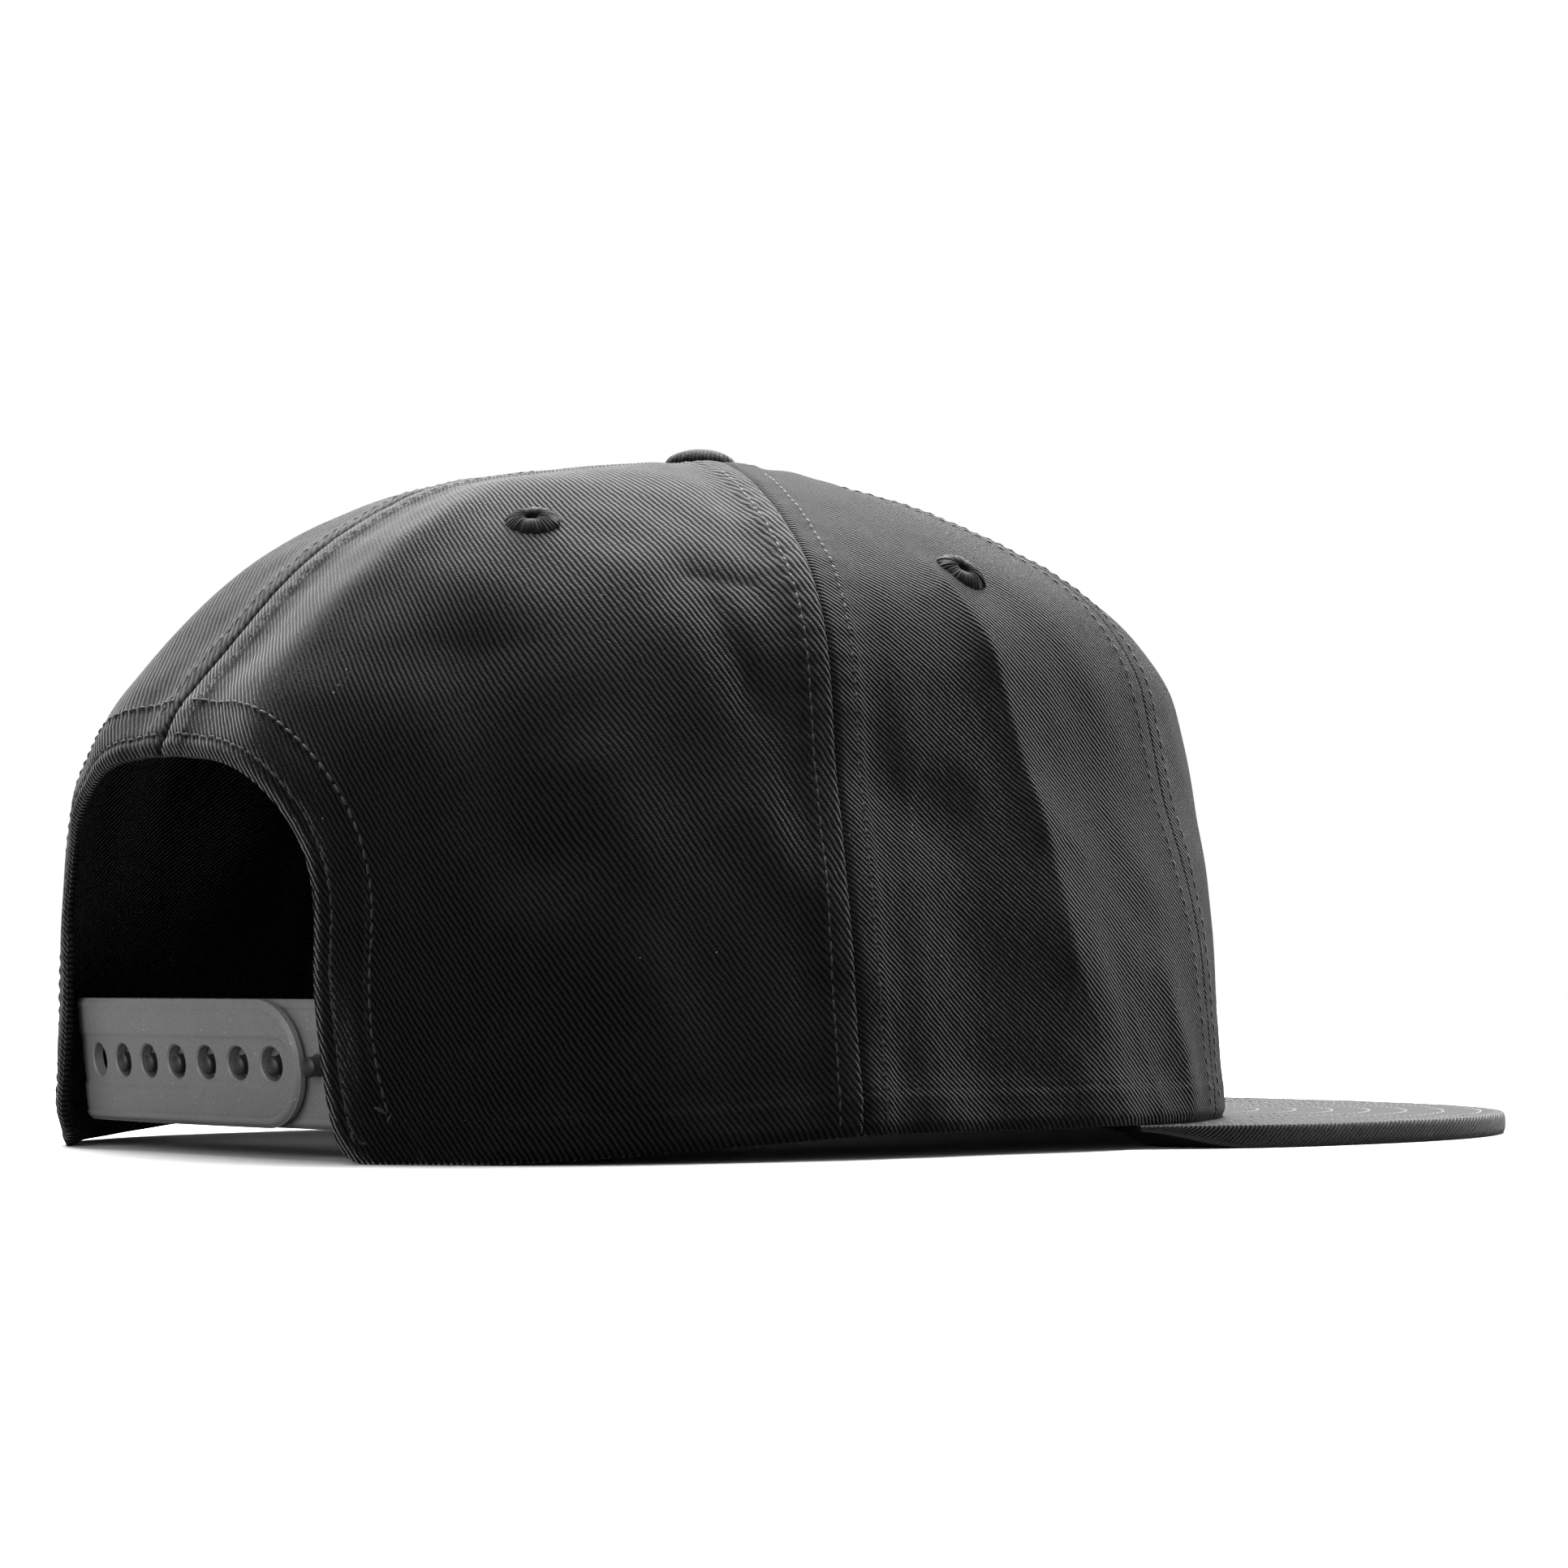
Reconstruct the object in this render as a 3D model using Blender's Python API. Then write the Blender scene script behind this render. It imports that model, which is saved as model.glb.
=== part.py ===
"""Snapback cap with a flat bill, five cloth panels, a button, sewn eyelets and a snap closure.

Metres, +Z up. The bill points to -Y, and the wearer's right is -X. The cap rests on the
underside of its bill and on the back of its rim. The origin is at the foot of the overall box,
in its middle. An azimuth is an angle round the button's axis, 0 at the front, positive towards
the wearer's right.
"""
import math

import bmesh
import bpy
import numpy as np
from mathutils import Vector

# Crown, measured from the button's axis and from the surface the cap rests on
CROWN_HEIGHT = 0.1116
FRONT_REACH = 0.088
SIDE_REACH = 0.0785
BACK_REACH = 0.106
FRONT_SQUARENESS = 2.3
BACK_SQUARENESS = 2.6
CLOTH = 0.0016
SEAM_GAP = 0.0003
FIT_GAP = 0.0003

# Seams between the panels, and where the rim starts and ends its drop to the rest surface
FRONT_SEAM_AZIMUTH = math.radians(50.0)
SIDE_SEAM_AZIMUTH = math.radians(112.5)
BACK_SEAM_AZIMUTH = math.radians(180.0)
DROP_START_AZIMUTH = math.radians(105.0)
DROP_END_AZIMUTH = math.radians(152.0)

# Bill
BILL_REACH = 0.152
BILL_HALF_WIDTH = 0.088
BILL_WIDEST_REACH = 0.060
BILL_TAIL_LENGTH = 0.064
BILL_SQUARENESS = 2.3
BILL_THICKNESS = 0.0037
BILL_EDGE_ROUNDING = 0.0012
BILL_TUCK = 0.003
BILL_TAIL_MARGIN = 0.0008
# Where the top's bare part starts, as a share of the way from the inner to the outer edge
BILL_BARE_SHARE = 0.12
# How much thinner the bill is at its inner edge, where the crown is sewn onto it
BILL_INNER_DROP = 0.0003

# Opening over the closure
OPENING_HEIGHT = 0.060
OPENING_SPRING_HEIGHT = 0.030
OPENING_HALF_WIDTH = 0.0343
OPENING_FOOT_FLARE = 0.0037
OPENING_SQUARENESS = 2.7

# Snap closure
STRAP_HEIGHT = 0.019
STRAP_THICKNESS = 0.0019
STRAP_FOOT = 0.0045
STRAP_INSET = 0.0076
STRAP_BOW_RADIUS = 0.29
STRAP_TUCK = 0.009
STRAP_CORNER = 0.0088
STRAP_LEAN = 0.14
STRAP_BLEND = 0.0008
HEM_GAP = 0.0006
SNAP_PITCH = 0.0084
SNAP_COUNT = 7
FIRST_HOLE_INSET = 0.0038
HOLE_RADIUS = 0.00255
POST_RADIUS = 0.00155
POST_PROUD = 0.0003
POST_END_GAP = 0.0004

# Button and eyelets
BUTTON_RADIUS = 0.006
BUTTON_RISE = 0.0032
BUTTON_STEM_RADIUS = 0.0032
BUTTON_STEM_DEPTH = 0.003
EYELET_RADIUS = 0.0041
EYELET_HOLE_RADIUS = 0.0012
EYELET_BARREL_RADIUS = 0.0022
EYELET_PROUD = 0.0009
EYELET_SHOULDER = 0.82
EYELET_CREST = 0.55
SIDE_EYELET_AZIMUTH = math.radians(81.0)
SIDE_EYELET_HEIGHT = 0.80
BACK_EYELET_AZIMUTH = math.radians(151.5)
BACK_EYELET_HEIGHT = 0.862

# Facets
SEGMENT_ANGLE = math.radians(6.3)
PANEL_ROWS = 20
BILL_SEGMENTS = 45
OPENING_SEGMENTS = 30
STRAP_SEGMENTS = 26
EDGE_SEGMENTS = 4
CORNER_SEGMENTS = 7
BUTTON_SIDES = 20
EYELET_SIDES = 14
HOLE_SIDES = 12
POST_SIDES = 8

# Rings of the crown from its top to its rim.
# height: share of the way up from the rim; front, side, back: shares of the three reaches
RINGS = [
    # height, front, side, back
    (1.000, 0.000, 0.000, 0.000),
    (0.991, 0.136, 0.153, 0.151),
    (0.967, 0.270, 0.286, 0.335),
    (0.934, 0.432, 0.415, 0.509),
    (0.892, 0.551, 0.525, 0.608),
    (0.841, 0.680, 0.626, 0.701),
    (0.790, 0.795, 0.712, 0.769),
    (0.734, 0.886, 0.772, 0.830),
    (0.669, 0.959, 0.812, 0.892),
    (0.595, 0.986, 0.838, 0.954),
    (0.493, 1.000, 0.868, 0.997),
    (0.335, 0.995, 0.933, 1.000),
    (0.167, 0.988, 0.972, 1.000),
    (0.000, 1.000, 1.000, 1.000),
]

# Folds and dents of the cloth, each along a line from one place to another.
# from and to: azimuth in degrees and height share; width and rise: shares of the crown height
FOLDS = [
    # from_azimuth, from_height, to_azimuth, to_height, width, rise
    (84, 0.70, 80, 0.00, 0.045, 0.013),
    (97, 0.42, 96, 0.12, 0.110, -0.012),
    (101, 0.52, 92, 0.50, 0.060, 0.008),
    (123, 0.76, 131, 0.77, 0.035, -0.012),
    (127, 0.72, 122, 0.58, 0.035, -0.008),
    (122, 0.44, 118, 0.36, 0.050, 0.007),
    (170, 0.60, 163, 0.86, 0.050, 0.009),
    (150, 0.64, 148, 0.34, 0.060, -0.012),
    (138, 0.50, 136, 0.10, 0.070, 0.008),
    (161, 0.00, 150, 0.00, 0.045, -0.016),
    (-161, 0.00, -150, 0.00, 0.045, -0.016),
    (-82, 0.66, -79, 0.00, 0.060, 0.010),
    (-99, 0.36, -95, 0.10, 0.110, -0.011),
    (-124, 0.50, -130, 0.15, 0.090, 0.008),
    (-148, 0.60, -146, 0.36, 0.060, -0.010),
    (-169, 0.60, -164, 0.86, 0.050, 0.008),
]

# Material colours are linear, with roughness and metallic values
MATERIALS = {
    "black_twill": ((0.020, 0.020, 0.022), 0.92, 0.0),
    "black_thread": ((0.016, 0.016, 0.018), 0.80, 0.0),
    "strap_plastic": ((0.045, 0.045, 0.048), 0.50, 0.0),
}

RIM_LIFT = BILL_THICKNESS + FIT_GAP
TIP_RADIUS = BUTTON_STEM_RADIUS + 3 * FIT_GAP
EYELET_CUT_RADIUS = EYELET_BARREL_RADIUS + FIT_GAP
FIRST_HOLE_X = OPENING_HALF_WIDTH - FIRST_HOLE_INSET
SNAP_XS = [FIRST_HOLE_X - index * SNAP_PITCH for index in range(SNAP_COUNT)]
# The last post stands free beyond the end of the holed strap
POST_XS = SNAP_XS[1:] + [SNAP_XS[-1] - SNAP_PITCH]
STRAP_END_X = POST_XS[-1] + POST_RADIUS + POST_END_GAP
POST_STRAP_END_X = POST_XS[0] + SNAP_PITCH - POST_RADIUS


def clear_scene():
    """Remove what the file opened with."""
    for item in list(bpy.data.objects):
        bpy.data.objects.remove(item, do_unlink=True)


def make_material(name):
    """A plain surface with the named colour, roughness and metallic value."""
    colour, roughness, metallic = MATERIALS[name]
    material = bpy.data.materials.new(name)
    material.use_nodes = True
    shader = material.node_tree.nodes["Principled BSDF"]
    shader.inputs["Base Color"].default_value = (*colour, 1.0)
    shader.inputs["Roughness"].default_value = roughness
    shader.inputs["Metallic"].default_value = metallic
    return material


def smoothstep(low, high, value):
    """0 below low, 1 above high, with soft ends."""
    share = np.clip((value - low) / (high - low), 0.0, 1.0)
    return share * share * (3 - 2 * share)


def ring_value(column, share):
    """One column of the rings as a smooth curve; share runs from 0 at the top to 1 at the rim."""
    values = np.array([ring[column] for ring in RINGS])
    slopes = np.gradient(values)
    last = len(values) - 1
    place = np.clip(np.asarray(share, dtype=float), 0.0, 1.0) * last
    index = np.minimum(place.astype(int), last - 1)
    t = place - index
    start = values[index] * (1 + 2 * t) * (1 - t) ** 2 + slopes[index] * t * (1 - t) ** 2
    end = values[index + 1] * t * t * (3 - 2 * t) + slopes[index + 1] * t * t * (t - 1)
    return start + end


def share_at_height(height):
    """Where on the way from the top to the rim a height share is reached."""
    shares = np.linspace(0.0, 1.0, 400)
    return float(np.interp(-height, -ring_value(0, shares), shares))


def back_wall(x, height):
    """Distance behind the button's axis of the crown at a place across and a height."""
    share = share_at_height(height / CROWN_HEIGHT)
    side = SIDE_REACH * float(ring_value(2, share))
    back = BACK_REACH * float(ring_value(3, share))
    across = min(abs(x) / side, 0.999)
    return back * (1 - across ** BACK_SQUARENESS) ** (1 / BACK_SQUARENESS)


# The button's axis: the overall box, from the bill's edge to the back opening, is centred on Y
AXIS_Y = (BILL_REACH - back_wall(0.0, OPENING_HEIGHT)) / 2


def rim_height(azimuth):
    """Height of the rim: level with the bill's top in front, down on the rest surface behind."""
    return RIM_LIFT * (1 - smoothstep(DROP_START_AZIMUTH, DROP_END_AZIMUTH, np.abs(azimuth)))


def plan_radius(azimuth, share):
    """Distance from the button's axis to the crown, without its folds."""
    sine = np.abs(np.sin(azimuth))
    cosine = np.cos(azimuth)
    in_front = cosine > 0
    squareness = np.where(in_front, FRONT_SQUARENESS, BACK_SQUARENESS)
    front = FRONT_REACH * ring_value(1, share)
    back = BACK_REACH * ring_value(3, share)
    reach = np.where(in_front, front, back)
    side = SIDE_REACH * ring_value(2, share)
    total = (sine / side) ** squareness + (np.abs(cosine) / reach) ** squareness
    return total ** (-1 / squareness)


def fold_rise(azimuth, height):
    """How far the folds and dents lift the cloth; height is a share of the crown's height."""
    mean_radius = (FRONT_REACH + SIDE_REACH + BACK_REACH) / 3
    rise = np.zeros(np.broadcast(azimuth, height).shape)
    for from_azimuth, from_height, to_azimuth, to_height, width, lift in FOLDS:
        start = np.array([math.radians(from_azimuth) * mean_radius, from_height * CROWN_HEIGHT])
        end = np.array([math.radians(to_azimuth) * mean_radius, to_height * CROWN_HEIGHT])
        along = end - start
        across_x = azimuth * mean_radius - start[0]
        across_z = height * CROWN_HEIGHT - start[1]
        share = np.clip((across_x * along[0] + across_z * along[1]) / (along @ along), 0.0, 1.0)
        distance = np.hypot(across_x - share * along[0], across_z - share * along[1])
        rise += lift * CROWN_HEIGHT * np.exp(-(distance / (width * CROWN_HEIGHT)) ** 2)
    return rise


def bare_crown(azimuth, share):
    """Points of the crown without its folds."""
    radius = plan_radius(azimuth, share)
    rim = rim_height(azimuth)
    height = rim + ring_value(0, share) * (CROWN_HEIGHT - rim)
    return np.stack([-radius * np.sin(azimuth), AXIS_Y - radius * np.cos(azimuth), height], axis=-1)


def surface_normals(surface, azimuth, share):
    """Outward unit normals of a surface that is given by azimuth and share."""
    step = 0.002
    across = surface(azimuth + step, share) - surface(azimuth - step, share)
    low = np.clip(share - step, step, 1.0)
    high = np.clip(share + step, 0.0, 1.0)
    down = surface(azimuth, high) - surface(azimuth, low)
    normals = np.cross(across, down)
    return normals / np.linalg.norm(normals, axis=-1, keepdims=True)


def crown(azimuth, share):
    """Points of the crown's outer face."""
    rise = fold_rise(azimuth, ring_value(0, share))
    return bare_crown(azimuth, share) + rise[..., None] * surface_normals(bare_crown, azimuth, share)


def add_object(name, mesh, material):
    """Put a mesh in the scene with its material."""
    item = bpy.data.objects.new(name, mesh)
    bpy.context.scene.collection.objects.link(item)
    if material:
        mesh.materials.append(material)
    return item


def add_faces(name, vertices, faces, material, sharp=math.radians(40)):
    """An object made of vertices and faces, shaded smooth up to the given edge angle."""
    mesh = bpy.data.meshes.new(name)
    mesh.from_pydata([tuple(vertex) for vertex in vertices], [], faces)
    mesh.validate()
    mesh.shade_smooth()
    mesh.set_sharp_from_angle(angle=sharp)
    return add_object(name, mesh, material)


def add_cutter(name, mesh):
    """An object that only cuts others."""
    cutter = add_object(name, mesh, None)
    cutter.hide_render = True
    cutter.display_type = "WIRE"
    return cutter


def cut(item, cutter):
    """Cut one object with another."""
    modifier = item.modifiers.new("cut_" + cutter.name, "BOOLEAN")
    modifier.operation = "DIFFERENCE"
    modifier.solver = "EXACT"
    modifier.object = cutter


def thick_sheet(outer, inner):
    """Vertices and faces of a closed sheet between two grids of points."""
    rows, columns = outer.shape[:2]
    vertices = np.concatenate([outer.reshape(-1, 3), inner.reshape(-1, 3)])
    offset = rows * columns

    def corner(row, column):
        return row * columns + column

    faces = []
    for row in range(rows - 1):
        for column in range(columns - 1):
            quad = (corner(row, column), corner(row, column + 1),
                    corner(row + 1, column + 1), corner(row + 1, column))
            faces.append(quad)
            faces.append(tuple(offset + vertex for vertex in reversed(quad)))
    border = [corner(0, column) for column in range(columns - 1)]
    border += [corner(row, columns - 1) for row in range(rows - 1)]
    border += [corner(rows - 1, column) for column in range(columns - 1, 0, -1)]
    border += [corner(row, 0) for row in range(rows - 1, 0, -1)]
    for first, second in zip(border, border[1:] + border[:1]):
        faces.append((second, first, offset + first, offset + second))
    return vertices, faces


def make_panel(name, first_seam, last_seam, material):
    """One panel of the crown between two seams, given in order of azimuth."""
    columns = round((last_seam - first_seam) / SEGMENT_ANGLE) + 1
    shares = np.linspace(0.001, 1.0, 400)
    radii = plan_radius(np.full_like(shares, math.pi / 2), shares)
    tip = float(np.interp(TIP_RADIUS, radii, shares))
    share = np.linspace(tip, 1.0, PANEL_ROWS)[:, None] * np.ones(columns)
    spread = np.linspace(-1.0, 1.0, columns)[None, :]
    middle = (first_seam + last_seam) / 2
    azimuth = middle + spread * (last_seam - first_seam) / 2
    margin = SEAM_GAP / 2 / plan_radius(azimuth, share)
    azimuth = azimuth - spread * margin
    outer = crown(azimuth, share)
    inner = outer - CLOTH * surface_normals(crown, azimuth, share)
    # The rim is cut level, so that the panel stands on it
    inner[-1, :, 2] = outer[-1, :, 2]
    return add_faces(name, *thick_sheet(outer, inner), material)


def opening_half_width(height):
    """Half the width of the back opening at a height."""
    if height <= OPENING_SPRING_HEIGHT:
        flare = 1 - max(height, 0.0) / OPENING_SPRING_HEIGHT
        return OPENING_HALF_WIDTH + OPENING_FOOT_FLARE * flare ** 2
    rise = (height - OPENING_SPRING_HEIGHT) / (OPENING_HEIGHT - OPENING_SPRING_HEIGHT)
    return OPENING_HALF_WIDTH * max(1 - rise ** OPENING_SQUARENESS, 0.0) ** (1 / OPENING_SQUARENESS)


def make_opening_cutter():
    """A prism through the back of the crown with the opening's arched outline."""
    # Heights are closer together towards the top of the arch
    angles = np.linspace(0.0, math.pi / 2, OPENING_SEGMENTS // 2 + 1)
    heights = [OPENING_HEIGHT * math.sin(angle) for angle in angles]
    heights[0] = -RIM_LIFT
    right = [(-opening_half_width(height), height) for height in heights[:-1]]
    left = [(-x, height) for x, height in reversed(right)]
    outline = right + [(0.0, OPENING_HEIGHT)] + left
    near = AXIS_Y + BACK_REACH / 2
    far = AXIS_Y + BACK_REACH * 1.2
    count = len(outline)
    vertices = [(x, near, z) for x, z in outline] + [(x, far, z) for x, z in outline]
    faces = [tuple(range(count)), tuple(reversed(range(count, 2 * count)))]
    for index in range(count):
        following = (index + 1) % count
        faces.append((following, index, index + count, following + count))
    mesh = bpy.data.meshes.new("opening_cutter")
    mesh.from_pydata(vertices, [], faces)
    work = bmesh.new()
    work.from_mesh(mesh)
    bmesh.ops.recalc_face_normals(work, faces=work.faces)
    work.to_mesh(mesh)
    work.free()
    return add_cutter("opening_cutter", mesh)


def bill_radius(azimuth):
    """Distance from the button's axis to the bill's outer edge."""
    direction = (math.sin(azimuth), math.cos(azimuth))

    def outside(radius):
        x = radius * direction[0]
        ahead = radius * direction[1] - BILL_WIDEST_REACH
        length = BILL_REACH - BILL_WIDEST_REACH if ahead > 0 else BILL_TAIL_LENGTH
        level = (abs(x) / BILL_HALF_WIDTH) ** BILL_SQUARENESS
        return level + (abs(ahead) / length) ** BILL_SQUARENESS > 1

    low, high = 0.0, 2 * BILL_REACH
    for _ in range(50):
        middle = (low + high) / 2
        if outside(middle):
            high = middle
        else:
            low = middle
    return low


def make_bill(material):
    """The flat bill, from under the crown's rim to its rounded outer edge."""
    def rim(azimuth):
        return float(plan_radius(np.array(azimuth), 1.0))

    tail = math.radians(30)
    while bill_radius(tail) > rim(tail) + BILL_TAIL_MARGIN:
        tail += math.radians(0.25)
    rounding = BILL_EDGE_ROUNDING
    # The rounded edge: distance back from it and height
    turns = [math.pi * step / EDGE_SEGMENTS for step in range(1, EDGE_SEGMENTS)]
    edge = [(rounding * (1 - math.sin(turn)), BILL_THICKNESS * (1 - math.cos(turn)) / 2)
            for turn in turns]
    sections = []
    for turn in np.linspace(-1.0, 1.0, BILL_SEGMENTS + 1):
        azimuth = tail * turn
        inner = rim(azimuth) - BILL_TUCK
        outer = bill_radius(azimuth)
        ring = [(inner, 0.0), (outer - rounding, 0.0)]
        ring += [(outer - back, height) for back, height in edge]
        bare = inner + BILL_BARE_SHARE * (outer - rounding - inner)
        ring += [(outer - rounding, BILL_THICKNESS), (bare, BILL_THICKNESS),
                 (inner, BILL_THICKNESS - BILL_INNER_DROP)]
        sections.append([(-radius * math.sin(azimuth), AXIS_Y - radius * math.cos(azimuth), height)
                         for radius, height in ring])
    count = len(sections[0])
    vertices = [point for section in sections for point in section]
    faces = []
    for index in range(BILL_SEGMENTS):
        for side in range(count):
            following = (side + 1) % count
            base = index * count
            faces.append((base + side, base + following,
                          base + count + following, base + count + side))
    faces.append(tuple(reversed(range(count))))
    last = BILL_SEGMENTS * count
    faces.append(tuple(range(last, last + count)))
    item = add_faces("bill", vertices, faces, material)
    return turn_faces_out(item)


def turn_faces_out(item):
    """Make every face of a closed mesh point outwards."""
    work = bmesh.new()
    work.from_mesh(item.data)
    bmesh.ops.recalc_face_normals(work, faces=work.faces)
    work.to_mesh(item.data)
    work.free()
    return item


def turned(name, profile, sides, material, place, axis):
    """A round piece: a closed profile of radius and height, turned about an axis at a place."""
    turn = Vector((0.0, 0.0, 1.0)).rotation_difference(Vector(axis)).to_matrix()
    on_axis = [radius < 1e-6 for radius, _ in profile]
    vertices, rings = [], []
    for (radius, height), single in zip(profile, on_axis):
        ring = []
        for side in range(1 if single else sides):
            angle = 2 * math.pi * side / sides
            local = Vector((radius * math.cos(angle), radius * math.sin(angle), height))
            ring.append(len(vertices))
            vertices.append(Vector(place) + turn @ local)
        rings.append(ring)
    pairs = list(zip(rings, rings[1:]))
    if not on_axis[0]:
        pairs.append((rings[-1], rings[0]))
    faces = []
    for lower, upper in pairs:
        for side in range(sides):
            following = (side + 1) % sides
            if len(lower) == 1:
                faces.append((lower[0], upper[following], upper[side]))
            elif len(upper) == 1:
                faces.append((lower[side], lower[following], upper[0]))
            else:
                faces.append((lower[side], lower[following], upper[following], upper[side]))
    return turn_faces_out(add_faces(name, vertices, faces, material))


def make_button(material):
    """The domed button, with its stem between the tips of the panels."""
    foot = CROWN_HEIGHT + FIT_GAP
    profile = [(0.0, foot - BUTTON_STEM_DEPTH), (BUTTON_STEM_RADIUS, foot - BUTTON_STEM_DEPTH),
               (BUTTON_STEM_RADIUS, foot), (BUTTON_RADIUS, foot)]
    for angle in (20, 45, 68):
        turn = math.radians(angle)
        profile.append((BUTTON_RADIUS * math.cos(turn), foot + BUTTON_RISE * math.sin(turn)))
    profile.append((0.0, foot + BUTTON_RISE))
    turned("top_button", profile, BUTTON_SIDES, material, (0.0, AXIS_Y, 0.0), (0.0, 0.0, 1.0))


def make_eyelet(name, azimuth, height, panel, material):
    """A sewn eyelet: a raised ring on the cloth with a barrel through it, and its hole."""
    share = np.array(share_at_height(height))
    place = crown(np.array(azimuth), share)
    axis = surface_normals(crown, np.array(azimuth), share)
    inner = -CLOTH
    profile = [(EYELET_HOLE_RADIUS, inner), (EYELET_BARREL_RADIUS, inner),
               (EYELET_BARREL_RADIUS, FIT_GAP), (EYELET_RADIUS, FIT_GAP),
               (EYELET_SHOULDER * EYELET_RADIUS, FIT_GAP + EYELET_SHOULDER * EYELET_PROUD),
               (EYELET_CREST * EYELET_RADIUS, FIT_GAP + EYELET_PROUD),
               (EYELET_HOLE_RADIUS, FIT_GAP + EYELET_CREST * EYELET_PROUD)]
    turned(name, profile, EYELET_SIDES, material, place, axis)
    work = bmesh.new()
    bmesh.ops.create_cone(work, cap_ends=True, segments=EYELET_SIDES, depth=8 * CLOTH,
                          radius1=EYELET_CUT_RADIUS, radius2=EYELET_CUT_RADIUS)
    turn = Vector((0.0, 0.0, 1.0)).rotation_difference(Vector(axis)).to_matrix()
    bmesh.ops.rotate(work, verts=work.verts, matrix=turn)
    bmesh.ops.translate(work, verts=work.verts, vec=Vector(place))
    mesh = bpy.data.meshes.new(name + "_cutter")
    work.to_mesh(mesh)
    work.free()
    cut(panel, add_cutter(name + "_cutter", mesh))


def strap_path(x, inset):
    """Distance behind the button's axis of a strap's middle, bowed and then tucked in the hem."""
    top = STRAP_FOOT + STRAP_HEIGHT
    step = 0.0005
    slope = (back_wall(x + step, top) - back_wall(x - step, top)) / (2 * step)
    tuck = CLOTH + HEM_GAP + STRAP_THICKNESS / 2
    hem = back_wall(x, top) - tuck * math.hypot(1.0, slope)
    bow = BACK_REACH - STRAP_INSET - x * x / (2 * STRAP_BOW_RADIUS)
    blended = min(hem, bow) - STRAP_BLEND * math.log1p(math.exp(-abs(hem - bow) / STRAP_BLEND))
    return blended - inset


def post_strap_inset(x):
    """How far the strap with the posts lies inside the line of the holed strap."""
    ease = smoothstep(STRAP_END_X - 10 * STRAP_THICKNESS, STRAP_END_X - 2 * STRAP_THICKNESS, x)
    return float(ease) * (STRAP_THICKNESS + FIT_GAP)


def strap_outline(tucked_x, free_x):
    """Places along and heights of a strap's edge: square in the hem, rounded at its free end."""
    way = math.copysign(1.0, free_x - tucked_x)
    foot, top = STRAP_FOOT, STRAP_FOOT + STRAP_HEIGHT
    straight = free_x - way * STRAP_CORNER
    xs = np.linspace(tucked_x, straight, STRAP_SEGMENTS)
    half_heights = np.full(STRAP_SEGMENTS, (top - foot) / 2)
    turns = np.linspace(0.0, math.pi / 2, CORNER_SEGMENTS + 1)[1:]
    xs = np.concatenate([xs, straight + way * STRAP_CORNER * np.sin(turns)])
    rounded = (top - foot) / 2 - STRAP_CORNER * (1 - np.cos(turns))
    return xs, np.concatenate([half_heights, rounded])


def strap_frame(x, height, inset):
    """A point on a strap's middle face and the outward direction there."""
    step = 0.0005
    slope = (strap_path(x + step, inset(x + step)) - strap_path(x - step, inset(x - step))) / (2 * step)
    lean = STRAP_LEAN * (height - STRAP_FOOT - STRAP_HEIGHT)
    point = Vector((x, AXIS_Y + strap_path(x, inset(x)) + lean, height))
    return point, Vector((-slope, 1.0, -STRAP_LEAN)).normalized()


def make_strap(name, tucked_x, free_x, inset, material):
    """A plastic strap that follows its path from the hem to its free end."""
    middle = STRAP_FOOT + STRAP_HEIGHT / 2
    xs, half_heights = strap_outline(tucked_x, free_x)
    outer, inner = [], []
    for x, half_height in zip(xs, half_heights):
        for grid, side in ((outer, 0.5), (inner, -0.5)):
            row = []
            for level in (-1.0, -0.5, 0.0, 0.5, 1.0):
                point, normal = strap_frame(x, middle + level * half_height, inset)
                row.append(point + side * STRAP_THICKNESS * normal)
            grid.append(row)
    vertices, faces = thick_sheet(np.array(outer), np.array(inner))
    return turn_faces_out(add_faces(name, vertices, faces, material))


def round_bar(name, start, axis, length, radius, sides):
    """A mesh of a round bar from a start point along an axis."""
    work = bmesh.new()
    bmesh.ops.create_cone(work, cap_ends=True, segments=sides, depth=length,
                          radius1=radius, radius2=radius)
    bmesh.ops.translate(work, verts=work.verts, vec=(0.0, 0.0, length / 2))
    turn = Vector((0.0, 0.0, 1.0)).rotation_difference(axis).to_matrix()
    bmesh.ops.rotate(work, verts=work.verts, matrix=turn)
    bmesh.ops.translate(work, verts=work.verts, vec=start)
    mesh = bpy.data.meshes.new(name)
    work.to_mesh(mesh)
    work.free()
    return mesh


def no_inset(_):
    """The holed strap lies on the closure's own line."""
    return 0.0


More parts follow.
